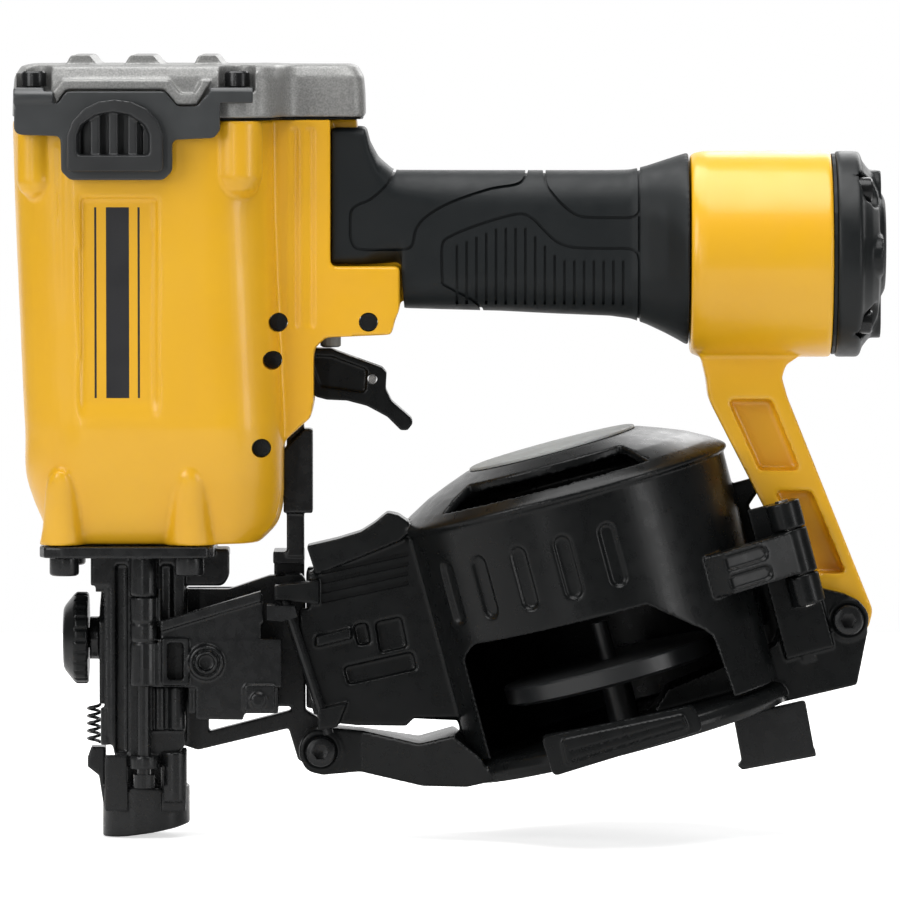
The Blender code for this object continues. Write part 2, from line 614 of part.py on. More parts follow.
def trigger_group():
    outline = [(-59.8, 154.0), (-59.0, 156.6), (-56.5, 157.4), (-43.3, 156.8), (-38.2, 156.8), (-36.0, 155.9),
               (-21.8, 150.8), (-20.3, 149.1), (-20.6, 143.9), (-18.8, 140.1), (-12.4, 134.5), (-11.9, 132.8),
               (-13.6, 130.6), (-15.8, 130.6), (-20.1, 134.9), (-26.6, 138.4), (-33.0, 140.1), (-39.5, 140.4),
               (-43.3, 141.4), (-46.5, 147.8), (-56.5, 150.6), (-59.0, 151.4)]
    trigger = plate("trigger", outline, -5.6, 5.6, BLACK)
    cut(trigger, rod("trigger_bore", (-56.5, -20, 154), (-56.5, 20, 154), 3.1, BLACK, 16))
    cut(trigger, block("lever_slot", (-54, -1.7, 130), (-20.9, 1.7, 153.6), BLACK))
    cut(trigger, rod("lever_pin_hole", (-24.9, -20, 146.9), (-24.9, 20, 146.9), 1.6, BLACK, 12))
    set_origin(trigger, TRIGGER_PIVOT[0], 0, TRIGGER_PIVOT[1])
    lever = [(-28.0, 147.2), (-24.9, 149.9), (-22.2, 146.9), (-24.9, 144.3), (-40.0, 146.2), (-51.5, 148.2),
             (-51.5, 150.4), (-38.0, 149.2)]
    piece = plate("trigger_lever", lever, -1.4, 1.4, STEEL)
    cut(piece, rod("lever_bore", (-24.9, -5, 146.9), (-24.9, 5, 146.9), 1.6, STEEL, 12))
    rod("trigger_lever_pin", (-24.9, -5.4, 146.9), (-24.9, 5.4, 146.9), 1.3, STEEL, 12)
    valve = [(3.7, 177.6), (6.4, 177.6), (6.4, 162.2), (3.7, 162.2)]
    turned("trigger_valve_body", valve, (-38.3, 0, 0), (0, 0, 1), GREY, 20)
    stem = [(0, 171.0), (2.4, 171.0), (3.3, 168.0), (3.3, 157.6), (2.6, 157.1), (0, 157.1)]
    turned("trigger_valve_stem", stem, (-38.3, 0, 0), (0, 0, 1), GREY, 16)


# ---------------------------------------------------------------- nose, door and feed

def nose_body():
    plan = rounded([(-130.7, -33.5), (-75.2, -33.5), (-75.2, 33.5), (-130.7, 33.5)], 7.0)
    nose = plate("nose_body", plan, 91.2, 94.8, DARK, plane="XY")
    column = [(-109.0, 91.6), (-109.0, 34.0), (-106.5, 22.8), (-90.0, 22.8), (-84.9, 30.0), (-84.9, 91.6)]
    join(nose, plate("nose_column", column, -NOSE_HALF, NOSE_HALF, DARK))
    rail = [(-90.0, 84.0), (-86.0, 88.0), (-70.0, 88.0), (-48.0, 84.0), (-46.5, 82.0), (-46.5, 40.0), (-34.2, 33.0),
            (-33.6, 27.0), (-36.8, 21.2), (-43.0, 20.2), (-49.0, 24.0), (-52.0, 34.0), (-81.2, 27.0), (-90.0, 30.0)]
    join(nose, plate("feed_rail", rail, RAIL_INNER, 9.6, DARK))
    for low, high in ((78.3, 90.2), (22.9, 27.0)):
        x, y = DOOR_PIN
        lug = rod(f"lug_{low}", (x, y, low), (x, y, high), 4.6, DARK, 16)
        web = block(f"lug_web_{low}", (x - 4.4, y, low + 0.3), (x + 4.4, -NOSE_HALF + 2.0, high - 0.3), DARK)
        join(nose, lug, web)
        cut(nose, rod(f"lug_hole_{low}", (x, y, low - 5), (x, y, high + 5 if high < 50 else 87.0), 2.4, DARK, 12))
    cut(nose, rod("drive_channel", (AXIS_X, 0, 10), (AXIS_X, 0, 100), 3.3, DARK, 14))
    cut(nose, block("nail_slot", (AXIS_X, -2.4, 18), (-70, 2.4, 80), DARK))
    cut(nose, plate("pawl_window", [(-84.2, 51), (-64, 51), (-64, 63), (-84.2, 63)], 2, 12, DARK))
    cut(nose, rod("front_bolt_hole", (-41.4, -20, 28), (-41.4, 20, 28), 3.3, DARK, 14))
    for x in (-122.8, -83.0):
        for side in (-1, 1):
            cut(nose, rod(f"flange_hole_{x}_{side}", (x, side * 27.5, 85), (x, side * 27.5, 99), 2.7, DARK, 12))
    return nose


def nose_bolts():
    number = 0
    for x in (-122.8, -83.0):
        for side in (-1, 1):
            number += 1
            profile = [(0, 94.6), (2.3, 94.6), (2.3, 90.9), (4.7, 90.9), (4.7, 86.0), (4.2, 85.4), (2.0, 85.4),
                       (2.0, 88.4), (0, 88.4)]
            turned(f"nose_bolt_{number}", profile, (x, side * 27.5, 0), (0, 0, 1), DARK, 14)


def nose_door():
    x, y = DOOR_PIN
    front = -20.6
    bar = [(x, 49.3), (-81.2, 49.1), (-81.2, 39.0), (-66.2, 38.7), (-65.2, 42.0), (-56.4, 41.5), (-56.2, 49.1),
           (-53.9, 49.3), (-53.9, 64.5), (x, 64.5)]
    door = plate("nose_door", bar, front, -16.2, DARK)
    tongue = block("door_tongue", (-83.6, -16.8, 40.5), (-55.0, -RAIL_INNER, 64.0), DARK)
    upper = plate("door_upper", [(-93.1, 68.7), (-59.6, 69.6), (-59.6, 81.9), (-93.1, 80.9)], front + 0.3, -16.5, DARK)
    web = plate("door_web", [(-84.5, 62), (-64.0, 62), (-64.0, 72), (-84.5, 72)], front + 1.2, -16.6, DARK)
    knuckle = rod("door_knuckle", (x, y, 49.6), (x, y, 77.9), 4.6, DARK, 18)
    boss = rod("door_boss", (-77.8, front - 2.4, 57.2), (-77.8, -18, 57.2), 5.5, DARK, 20)
    rivet = rod("door_rivet", (-61.2, front - 1.6, 45.1), (-61.2, -18, 45.1), 2.4, DARK, 12)
    join(door, tongue, upper, web, knuckle, boss, rivet)
    cut(door, rod("door_bore", (x, y, 30), (x, y, 90), 2.4, DARK, 12))
    cut(door, rod("door_boss_hole", (-77.8, -30, 57.2), (-77.8, -18.5, 57.2), 2.1, DARK, 12))
    cut(door, block("door_window", (-90.3, -30, 51.4), (-85.0, -10, 63.6), DARK))
    set_origin(door, x, y, 60)
    return door


def door_hardware():
    x, y = DOOR_PIN
    pin = [(0, 86.6), (2.1, 86.6), (2.1, 21.0), (3.4, 21.0), (3.4, 16.8), (0, 16.8)]
    turned("door_hinge_pin", pin, (x, y, 0), (0, 0, 1), STEEL, 14)


def feed_group():
    """Pneumatic feed on the far side of the rail: cylinder, piston rod and pawl."""
    y = 21.0
    z = 57.0
    shell = [(7.6, -34.0), (10.0, -34.0), (10.0, -61.5), (3.4, -61.5), (3.4, -59.5), (7.6, -59.5)]
    body = turned("feed_cylinder", shell, (0, y, z), (1, 0, 0), DARK, 24)
    foot = block("feed_foot", (-60.0, 9.9, z - 7.5), (-36.0, 14.5, z + 7.5), DARK)
    join(body, foot)
    cut(body, rod("feed_bore", (-59.5, y, z), (-28.0, y, z), 7.6, DARK, 24))
    cap = [(0, -31.4), (9.4, -31.4), (10.0, -32.0), (10.0, -33.7), (0, -33.7)]
    turned("feed_cylinder_cap", cap, (0, y, z), (1, 0, 0), DARK, 24)
    piston = [(0, -46.0), (7.3, -46.0), (7.3, -51.0), (3.0, -51.0), (3.0, -69.4), (0, -69.4)]
    slider = turned("feed_piston", piston, (0, y, z), (1, 0, 0), STEEL, 20)
    eye = rod("feed_eye", (-74.0, y, z - 1.8), (-74.0, y, z + 1.8), 3.6, STEEL, 16)
    pin = rod("pawl_pin", (-74.0, y, z - 4.8), (-74.0, y, z + 4.8), 1.1, STEEL, 10)
    tongue = block("feed_tongue", (-73.5, y - 2.8, z - 1.7), (-68.6, y + 2.8, z + 1.7), STEEL)
    join(slider, tongue, eye, pin)
    outline = [(-70.2, 21.5), (-74.0, 25.0), (-78.2, 22.0), (-81.0, 12.0), (-81.6, 3.4), (-78.4, 2.9), (-74.0, 12.0),
               (-70.6, 18.5)]
    pawl = plate("feed_pawl", outline, z - 4.6, z + 4.6, STEEL, plane="XY")
    cut(pawl, block("pawl_fork", (-90, 16.6, z - 2.2), (-60, 30, z + 2.2), STEEL))
    cut(pawl, rod("pawl_hole", (-74.0, y, z - 9), (-74.0, y, z + 9), 1.4, STEEL, 12))
    set_origin(pawl, -74.0, y, z)


# ---------------------------------------------------------------- contact trip

def contact_trip():
    front = plate("contact_arm", rounded([(-9.5, 42.9), (9.5, 42.9), (9.5, 62), (16.6, 66), (16.6, 79), (9.5, 79),
                                          (-4, 74), (-9.5, 69.4)], 1.0, 1), -112.4, -109.9, DARK, plane="YZ")
    side = block("trip_bar", (-112.4, 13.8, 70.0), (-47.0, 16.6, 79.0), DARK)
    riser = block("trip_riser", (-56.8, 13.8, 75.0), (-47.0, 16.6, 91.5), DARK)
    foot = block("trip_cross", (-56.8, -3.6, 87.6), (-46.8, 16.4, 91.5), DARK)
    column = plate("trip_column", [(-52.4, 90), (-46.8, 90), (-46.8, 135.4), (-52.4, 135.4)], -3.8, 3.8, DARK)
    collar = rod("trip_collar", (-115.7, 0, KNOB_Z), (-110.5, 0, KNOB_Z), 6.9, DARK, 20)
    shaft = rod("trip_shaft", (-119.6, 0, KNOB_Z), (-112.0, 0, KNOB_Z), 3.0, DARK, 14)
    join(front, side, riser, foot, column, collar, shaft)
    set_origin(front, -112.0, 0, KNOB_Z)
    knob = [(0, 124.1), (11.6, 124.1), (14.0, 121.6), (14.75, 119.6), (14.75, 117.6), (13.2, 116.0), (0, 116.0)]
    wheel = turned("depth_knob", knob, (0, 0, KNOB_Z), (-1, 0, 0), BLACK, 32)
    cut(wheel, rod("knob_bore", (-110, 0, KNOB_Z), (-120.2, 0, KNOB_Z), 3.3, BLACK, 14))
    set_origin(wheel, -119, 0, KNOB_Z)
    coil_spring("contact_spring", (-114.4, 0, 29.4), 1.9, 13.2, 5, 0.55, 8)


def contact_foot():
    outline = [(-111.6, 0.0), (-107.0, 0.4), (-84.5, 4.2), (-83.7, 6.0), (-83.7, 16.2), (-111.6, 16.4)]
    foot = plate("contact_foot", outline, -12.4, 12.4, DARK)
    tongue = block("foot_tongue", (-116.4, -4.6, 9.0), (-112.7, 4.6, 28.9), DARK)
    root = block("foot_root", (-115.0, -4.2, 9.5), (-108.0, 4.2, 14.5), DARK)
    join(foot, tongue, root)
    cut(foot, rod("foot_bore", (AXIS_X, 0, -5), (AXIS_X, 0, 25), 4.4, DARK, 16))
    cut(foot, rod("foot_scoop", (AXIS_X + 1, -20, 0.5), (AXIS_X + 1, 20, 0.5), 7.0, DARK, 20))
    set_origin(foot, AXIS_X, 0, 8)
    return foot


# ---------------------------------------------------------------- magazine

def wall_ring(name, outer, inner, low, high, material):
    """A plain ring of the magazine's wall, in the leaning frame."""
    profile = [(inner, high), (outer, high), (outer, low), (inner, low)]
    return turned(name, profile, (0, 0, 0), (0, 0, 1), material, 40, MAG_MATRIX)


def magazine_base():
    """Floor, far half of the wall, front strap and rear fork in one moulding."""
    floor = [(0, -76.0), (51.0, -76.0), (53.5, -77.5), (54.2, -80.5), (52.5, MAG_FLOOR), (0, MAG_FLOOR)]
    base = turned("magazine_base", floor, (0, 0, 0), (0, 0, 1), BLACK, 40, MAG_MATRIX)
    wall = wall_ring("base_wall", MAG_WALL_R, MAG_WALL_R - MAG_WALL_T, -79.0, -4.6, BLACK)
    cut(wall, block("base_wall_half", (-80, -80, -100), (80, 0.9, 20), BLACK, MAG_MATRIX))
    cut(wall, block("base_wall_mouth", (-80, -2, -74.6), (-35, 7.5, 20), BLACK, MAG_MATRIX))
    throat = [(-45.8, 86.0), (-45.8, 40.5), (-30.0, 38.0), (3.0, 36.5), (-10.0, 86.0)]
    join(base, wall, plate("throat", throat, RAIL_INNER, 9.0, BLACK))
    front = [(-46.6, 24.0), (-40.8, 20.4), (-28.9, 21.4), (-8.7, 17.5), (5.3, 17.6), (14.0, 19.8), (10.0, 27.0),
             (1.1, 33.9), (-10.0, 31.1), (-28.1, 34.6), (-39.0, 35.6), (-44.8, 34.6), (-48.8, 30.0)]
    join(base, plate("front_strap", front, -12.0, 3.2, BLACK))
    rear = [(60.0, 33.5), (90.2, 40.0), (130.3, 49.4), (133.6, 66.0), (133.4, 72.6), (131.0, 76.3), (126.1, 78.7),
            (117.2, 80.8), (110.2, 78.0), (104.0, 62.0), (70.0, 48.0)]
    join(base, plate("rear_fork", rear, -13.5, 13.5, BLACK))
    cut(base, plate("fork_gap", [(100, 112), (96, 106), (118, 72), (122, 58), (150, 58), (150, 112)], -8.9, 8.9, BLACK))
    a, y = MAG_HINGE
    bracket = block("hinge_bracket", (a - 4.4, y + 6.0, -66.0), (a + 4.4, y + 9.8, -20.6), BLACK, MAG_MATRIX)
    join(base, bracket)
    for low, high in ((-29.2, -20.4), (-54.0, -44.3)):
        barrel_end = rod(f"base_barrel_{low}", (a, y, low), (a, y, high), 5.6, BLACK, 18, MAG_MATRIX)
        lug = block(f"base_lug_{low}", (a - 4.0, y, low + 0.3), (a + 4.0, y + 8.0, high - 0.3), BLACK, MAG_MATRIX)
        join(base, barrel_end, lug)
        cut(base, rod(f"base_barrel_bore_{low}", (a, y, low - 4), (a, y, high + 4), 2.4, BLACK, 12, MAG_MATRIX))
    cut(base, rod("base_front_bore", (-41.4, -30, 28), (-41.4, 12, 28), 3.4, BLACK, 14))
    cut(base, rod("base_rear_bore", (127.4, -30, 70.3), (127.4, 30, 70.3), 3.4, BLACK, 14))
    post = rod("platform_bore", (0, 0, -90), (0, 0, -70), 5.3, BLACK, 18, MAG_MATRIX)
    cut(base, post)
    return base


def magazine_bolts():
    front_profile = [(0, 13.4), (1.9, 13.4), (1.9, 16.2), (4.2, 16.2), (4.8, 15.6), (4.8, 12.3), (3.0, 12.3),
                     (3.0, -9.2), (0, -9.2)]
    turned("magazine_bolt_front", front_profile, (-41.4, 0, 28), (0, -1, 0), STEEL, 18)
    rear_profile = [(0, 15.0), (1.9, 15.0), (1.9, 17.8), (4.2, 17.8), (4.8, 17.2), (4.8, 13.8), (3.0, 13.8),
                    (3.0, -13.2), (0, -13.2)]
    turned("magazine_bolt_rear", rear_profile, (127.4, 0, 70.3), (0, -1, 0), STEEL, 18)


def magazine_cover():
    """Domed lid with the near half of the wall, the strap and the nail window."""
    dome = [(0, 13.7), (28.5, 13.7), (30.5, 13.0), (50.0, 4.6), (53.3, 2.4), (MAG_RIM_R, 0.8), (MAG_RIM_R, -3.4),
            (53.8, -4.2), (50.2, -4.2), (50.2, 0.4), (48.2, 2.2), (30.0, 10.4), (0, 10.8)]
    cover = turned("magazine_cover", dome, (0, 0, 0), (0, 0, 1), BLACK, 40, MAG_MATRIX)
    wall = wall_ring("cover_wall", MAG_WALL_R, MAG_WALL_R - MAG_WALL_T, -75.4, -2.0, BLACK)
    cut(wall, block("cover_wall_half", (-80, -0.9, -100), (80, 80, 20), BLACK, MAG_MATRIX))
    cut(wall, block("cover_wall_mouth", (-80, -13.6, -90), (-35, 2, -5), BLACK, MAG_MATRIX))
    cut(wall, block("cover_wall_fork", (44, -15.0, -90), (60, 2, -58), BLACK, MAG_MATRIX))
    window = [(-44.2, -90), (-44.2, -43.0), (-40.0, -39.4), (16.3, -40.2), (31.5, -53.0), (34.0, -56.0), (35.6, -75.0),
              (36.0, -90)]
    cut(wall, plate("cover_window", rounded(window, 1.5, 2), -70, -10, BLACK, matrix=MAG_MATRIX))
    join(cover, wall)
    a, y = MAG_HINGE
    strap = plate("cover_strap", [(36.6, -36.9), (40.4, -32.7), (52.0, -26.5), (a - 2.0, y + 2.2), (a + 1.7, y - 4.8),
                                  (58.0, -31.5), (44.0, -38.6)], -43.6, -29.9, BLACK, plane="XY", matrix=MAG_MATRIX)
    barrel_mid = rod("cover_barrel", (a, y, -44.0), (a, y, -29.5), 5.6, BLACK, 18, MAG_MATRIX)
    join(cover, strap, barrel_mid)
    cut(cover, rod("cover_barrel_bore", (a, y, -60), (a, y, -10), 2.4, BLACK, 12, MAG_MATRIX))
    for number in range(5):
        lean = math.radians(-143.3 + 16.05 * number)
        turn = MAG_MATRIX @ Matrix.Rotation(lean, 4, "Z")
        slot = plate(f"wall_slot_{number}", slot_outline((0.0, -21.9), 20.0, 5.4, 90.0, 3), MAG_WALL_R - 0.9,
                     MAG_WALL_R + 3.0, BLACK, plane="YZ", matrix=turn)
        cut(cover, slot)
    cut(cover, plate("dome_window", sector_outline(37.0, 48.4, -139.0, -60.0), -1.0, 20.0, BLACK, plane="XY",
                     matrix=MAG_MATRIX))
    join(cover, *cover_throat())
    cut(cover, rod("latch_rod_hole", (-37.9, -17.6, 31.2), (-53.6, -17.6, 79.2), 2.1, BLACK, 12))
    return cover


def cover_throat():
    """Near side of the nail path, the thumb hood and the ears for the latch rod."""
    outline = [(-45.0, 84.5), (-45.0, 62.0), (-38.0, 38.8), (1.0, 38.8), (-11.5, 86.0), (-24.0, 91.0)]
    edge = plate("cover_throat", outline, -14.8, -RAIL_INNER, BLACK)
    hood = plate("thumb_hood", [(-45.9, 94.1), (-19.2, 105.2), (-12.4, 99.0), (-21.0, 92.0), (-42.5, 84.9)], -17.0,
                 -RAIL_INNER - 0.2, BLACK)
    ear = plate("rod_ear", [(-56.0, 76.9), (-42.0, 75.8), (-42.0, 83.3), (-56.0, 81.6)], -20.6, -12.0, BLACK)
    foot = plate("rod_foot", [(-42.5, 35.2), (-36.0, 36.4), (-33.0, 44.0), (-42.0, 42.0)], -20.6, -12.0, BLACK)
    return edge, hood, ear, foot


def door_latch():
    """The latch turns on a rod along the cover's front edge and holds the door shut."""
    rod("latch_rod", (-38.8, -17.6, 34.0), (-53.3, -17.6, 78.3), 1.7, STEEL, 12)
    lever = [(-58.4, 71.0), (-53.6, 70.6), (-48.6, 72.0), (-49.6, 75.4), (-58.4, 75.6)]
    latch = plate("door_latch", lever, -25.4, -14.4, DARK)
    cut(latch, rod("latch_bore", (-45.0, -17.6, 53.0), (-56.2, -17.6, 87.2), 2.1, DARK, 12))
    set_origin(latch, -51.3, -17.6, 72.4)


def cover_disc():
    """Plain round plate on the middle of the dome."""
    disc = [(0, 14.9), (26.6, 14.9), (27.4, 14.4), (27.4, 14.0), (0, 14.0)]
    turned("cover_disc", disc, (0, 0, 0), (0, 0, 1), GREY, 32, MAG_MATRIX)


def magazine_hinge_pin():
    a, y = MAG_HINGE
    rod("magazine_hinge_pin", (a, y, -54.6), (a, y, -19.8), 2.1, STEEL, 12, MAG_MATRIX)


def nail_platform():
    profile = [(0, -56.0), (33.0, -56.0), (35.0, -57.0), (35.0, -61.6), (33.6, -62.6), (6.0, -62.6), (5.0, -64.0),
               (5.0, -84.5), (0, -84.5)]
    platform = turned("nail_platform", profile, (0, 0, 0), (0, 0, 1), GREY, 32, MAG_MATRIX)
    post = rod("platform_post", (0, 0, -58), (0, 0, -44), 2.7, GREY, 14, MAG_MATRIX)
    join(platform, post)
    return platform


def skid_pads():
    outline = [(28.7, 36.2), (32.6, 23.8), (80.0, 38.4), (77.0, 46.4)]
    for side, name in ((-1, "skid_pad_left"), (1, "skid_pad_right")):
        low, high = sorted((side * 30.0, side * 58.5))
        pad = plate(name, outline, low, high, BLACK)
        gap = [(0, -70.0), (54.6, -70.0), (54.6, -90.0), (0, -90.0)]
        cut(pad, turned(f"pad_gap_{name}", gap, (0, 0, 0), (0, 0, 1), BLACK, 40, MAG_MATRIX))
        wall_gap = [(0, -10.0), (53.4, -10.0), (53.4, -72.0), (0, -72.0)]
        cut(pad, turned(f"pad_wall_gap_{name}", wall_gap, (0, 0, 0), (0, 0, 1), BLACK, 40, MAG_MATRIX))


def shingle_guide():
    outline = [(90.6, 39.6), (93.2, 25.6), (92.2, 23.8), (94.6, 22.6), (116.9, 27.0), (113.6, 44.8)]
    guide = plate("shingle_guide", outline, -17.0, -14.0, DARK)
    lip = plate("guide_lip", [(92.0, 23.6), (93.6, 22.4), (117.2, 26.8), (116.8, 29.2)], -16.8, -3.0, DARK)
    join(guide, lip)
    return guide


# ---------------------------------------------------------------- build

main_housing()
cross_pins()
top_cap()
cap_gasket()
cap_bolts()
exhaust_shield()
exhaust_grille()
engine()
grip_sleeve()
tail_end()
trigger_group()
nose_body()
nose_bolts()
nose_door()
door_hardware()
feed_group()
contact_trip()
contact_foot()
magazine_base()
magazine_bolts()
magazine_cover()
door_latch()
cover_disc()
magazine_hinge_pin()
nail_platform()
skid_pads()
shingle_guide()
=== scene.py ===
"""Studio view of a coil roofing nailer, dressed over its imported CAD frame.

Lengths are written in millimetres, along the frame's own axes, and turned into metres by mm().
Castings and mouldings are built from simple solids, joined and cut, then given a voxel skin
that rounds their edges the way a casting's are. Fine grooves and bores are cut after that.
"""
import json
import math

import bmesh
import bpy
from mathutils import Matrix, Vector

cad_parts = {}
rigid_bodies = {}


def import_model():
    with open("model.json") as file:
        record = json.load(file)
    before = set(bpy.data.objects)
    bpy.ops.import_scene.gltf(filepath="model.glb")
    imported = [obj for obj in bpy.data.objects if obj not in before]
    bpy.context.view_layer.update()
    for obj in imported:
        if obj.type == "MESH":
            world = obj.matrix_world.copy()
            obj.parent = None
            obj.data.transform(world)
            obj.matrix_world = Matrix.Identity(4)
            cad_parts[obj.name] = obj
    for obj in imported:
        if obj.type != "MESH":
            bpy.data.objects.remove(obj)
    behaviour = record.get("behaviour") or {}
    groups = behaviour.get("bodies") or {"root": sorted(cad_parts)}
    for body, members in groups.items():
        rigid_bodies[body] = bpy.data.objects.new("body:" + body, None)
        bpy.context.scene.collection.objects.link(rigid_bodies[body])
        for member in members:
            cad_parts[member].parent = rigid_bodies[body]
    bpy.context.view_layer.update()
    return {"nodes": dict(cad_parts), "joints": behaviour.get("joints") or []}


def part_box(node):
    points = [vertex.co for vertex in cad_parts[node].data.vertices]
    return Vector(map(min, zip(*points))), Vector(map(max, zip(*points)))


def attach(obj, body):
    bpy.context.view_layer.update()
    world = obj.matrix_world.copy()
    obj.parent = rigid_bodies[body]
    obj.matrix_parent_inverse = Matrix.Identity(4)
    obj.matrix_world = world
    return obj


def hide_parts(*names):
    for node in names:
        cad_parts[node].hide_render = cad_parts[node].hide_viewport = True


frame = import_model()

COARSE = 1.0


def mm(*values):
    """A vector, or one number, from millimetres to metres."""
    if len(values) == 1:
        return values[0] * 0.001
    return Vector(values) * 0.001


def box_mm(node):
    """Lowest and highest corner of a CAD node, in millimetres."""
    low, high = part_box(node)
    return Vector(low) * 1000.0, Vector(high) * 1000.0


def centre_mm(node):
    low, high = box_mm(node)
    return (low + high) / 2.0


# Driving places, read from the frame
AXIS_X = centre_mm("driver_blade").x
BARREL_TOP = box_mm("main_housing")[1].z
CAP_BOTTOM = box_mm("top_cap")[0].z
CAP_PEAK = box_mm("top_cap")[1].z - 0.05
CAP_TOP = CAP_PEAK - 4.05
TAIL_FRONT = box_mm("grip_sleeve")[1].x + 0.4
TAIL_END = box_mm("end_cap_gasket")[0].x - 0.2
TAIL_Z = centre_mm("end_cap_gasket").z
TAIL_R = box_mm("end_cap")[1].y
KNOB = centre_mm("depth_knob")
DOOR_PIN = centre_mm("door_hinge_pin")
FRONT_BOLT = centre_mm("magazine_bolt_front")
REAR_BOLT = centre_mm("magazine_bolt_rear")
CAP_BOLTS = [centre_mm(f"cap_bolt_{number}") for number in range(1, 5)]

# Half widths across the tool, and the radii of holes that are met in more than one part
ROOT_HALF = 21.0
CORE_HALF = 11.5
ARM_HALF = 8.5
FORK_HALF = 13.5
BOLT_BORE_R = 3.4
CAP_BORE_R = 2.6
HINGE_BORE_R = 2.4
HINGE_R = 5.6
INLET_Z = TAIL_Z + 3.0

# The magazine's leaning frame: local z runs along the joint axis of the nail platform
LEAN = next(joint for joint in frame["joints"] if joint["name"] == "platform_height")["axis"]
MAG_CENTRE = (36.4, 0.0, 111.1)
MAG_RIM_R = (box_mm("magazine_cover")[1].y - box_mm("magazine_cover")[0].y) / 2.0
MAG_WALL_R = MAG_RIM_R - 1.4
MAG_WALL_T = 2.0
MAG_HINGE = (66.3, -23.0)
MAG_STEPS = 160
MAG = Matrix.Translation(mm(*MAG_CENTRE)) @ Matrix.Rotation(math.atan2(LEAN[0], LEAN[2]), 4, "Y")


# ---------------------------------------------------------------- solids

def from_bmesh(bm, matrix=None):
    """A linked object from a bmesh, its normals facing out."""
    bmesh.ops.recalc_face_normals(bm, faces=bm.faces)
    mesh = bpy.data.meshes.new("solid")
    bm.to_mesh(mesh)
    bm.free()
    if matrix is not None:
        mesh.transform(matrix)
    obj = bpy.data.objects.new("solid", mesh)
    bpy.context.scene.collection.objects.link(obj)
    return obj


def rounded(points, radius, steps=5):
    """The outline with its corners rounded. A point may carry its own radius."""
    result = []
    for index, point in enumerate(points):
        corner = Vector(point[:2])
        size = point[2] if len(point) > 2 else radius
        before = Vector(points[index - 1][:2]) - corner
        after = Vector(points[(index + 1) % len(points)][:2]) - corner
        turn = math.pi - before.angle(after, math.pi)
        if size <= 0.0 or turn < 0.1:
            result.append(tuple(corner))
            continue
        reach = min(size * math.tan(turn / 2.0), 0.45 * before.length, 0.45 * after.length)
        start = corner + before.normalized() * reach
        end = corner + after.normalized() * reach
        for step in range(steps + 1):
            t = step / steps
            result.append(tuple(start * (1 - t) ** 2 + corner * 2 * t * (1 - t) + end * t * t))
    return result


def slot_outline(centre, length, width, angle=0.0, steps=8):
    """A stadium, its long side turned by angle degrees."""
    radius = width / 2.0
    turn = math.radians(angle)
    points = []
    for side in (1, -1):
        for step in range(steps + 1):
            a = math.pi * step / steps - math.pi / 2.0
            x = side * (length / 2.0 - radius + radius * math.cos(a))
            y = side * radius * math.sin(a)
            points.append((centre[0] + x * math.cos(turn) - y * math.sin(turn),
                           centre[1] + x * math.sin(turn) + y * math.cos(turn)))
    return points


def sector_outline(inner, outer, start, end, steps=24):
    """The outline between two radii and two angles in degrees."""
    angles = [math.radians(start + (end - start) * step / steps) for step in range(steps + 1)]
    return ([(outer * math.cos(a), outer * math.sin(a)) for a in angles]
            + [(inner * math.cos(a), inner * math.sin(a)) for a in reversed(angles)])


def plate(outline, low, high, plane="XZ", matrix=None):
    """A flat outline given thickness along the normal of its plane."""
    orders = {"XZ": lambda a, b, c: (a, c, b),
              "XY": lambda a, b, c: (a, b, c),
              "YZ": lambda a, b, c: (c, a, b)}
    order = orders[plane]
    bm = bmesh.new()
    lower = [bm.verts.new(mm(*order(a, b, low))) for a, b in outline]
    upper = [bm.verts.new(mm(*order(a, b, high))) for a, b in outline]
    ends = [bm.faces.new(lower), bm.faces.new(upper)]
    for i in range(len(outline)):
        j = (i + 1) % len(outline)
        bm.faces.new((lower[i], lower[j], upper[j], upper[i]))
    bm.normal_update()
    bmesh.ops.triangulate(bm, faces=ends, ngon_method="EAR_CLIP")
    return from_bmesh(bm, matrix)


def flank(outline, side, near, far):
    """A plate between two depths on one side of the tool. Side is -1 or 1."""
    return plate(outline, *sorted((side * near, side * far)))


def block(low, high, matrix=None):
    """A box between two corners."""
    outline = [(low[0], low[1]), (high[0], low[1]), (high[0], high[1]), (low[0], high[1])]
    return plate(outline, low[2], high[2], "XY", matrix)


def turned(profile, start=(0, 0, 0), direction=(0, 0, 1), steps=72, matrix=None):
    """A solid of revolution from (radius, height) pairs. It is a ring if neither end is on the axis."""
    bm = bmesh.new()
    rows = []
    for radius, height in profile:
        if radius == 0:
            rows.append([bm.verts.new((0.0, 0.0, mm(height)))])
            continue
        rows.append([bm.verts.new(mm(radius * math.cos(2 * math.pi * s / steps),
                                     radius * math.sin(2 * math.pi * s / steps), height))
                     for s in range(steps)])
    pairs = list(zip(rows, rows[1:]))
    if len(rows[0]) > 1 and len(rows[-1]) > 1:
        pairs.append((rows[-1], rows[0]))
    for first, second in pairs:
        for s in range(steps):
            t = (s + 1) % steps
            if len(first) == 1:
                bm.faces.new((first[0], second[s], second[t]))
            elif len(second) == 1:
                bm.faces.new((first[s], first[t], second[0]))
            else:
                bm.faces.new((first[s], first[t], second[t], second[s]))
    turn = Matrix.Translation(mm(*start)) @ Vector(direction).to_track_quat("Z", "Y").to_matrix().to_4x4()
    return from_bmesh(bm, turn if matrix is None else matrix @ turn)


def rod(start, end, radius, steps=48, matrix=None):
    """A round bar between two points."""
    start, end = Vector(start), Vector(end)
    length = (end - start).length
    profile = [(0, length), (radius, length), (radius, 0), (0, 0)]
    return turned(profile, start, end - start, steps, matrix)


def cross_rod(x, z, low, high, radius, steps=48):
    """A round bar across the tool, from one depth to another."""
    return rod((x, low, z), (x, high, z), radius, steps)


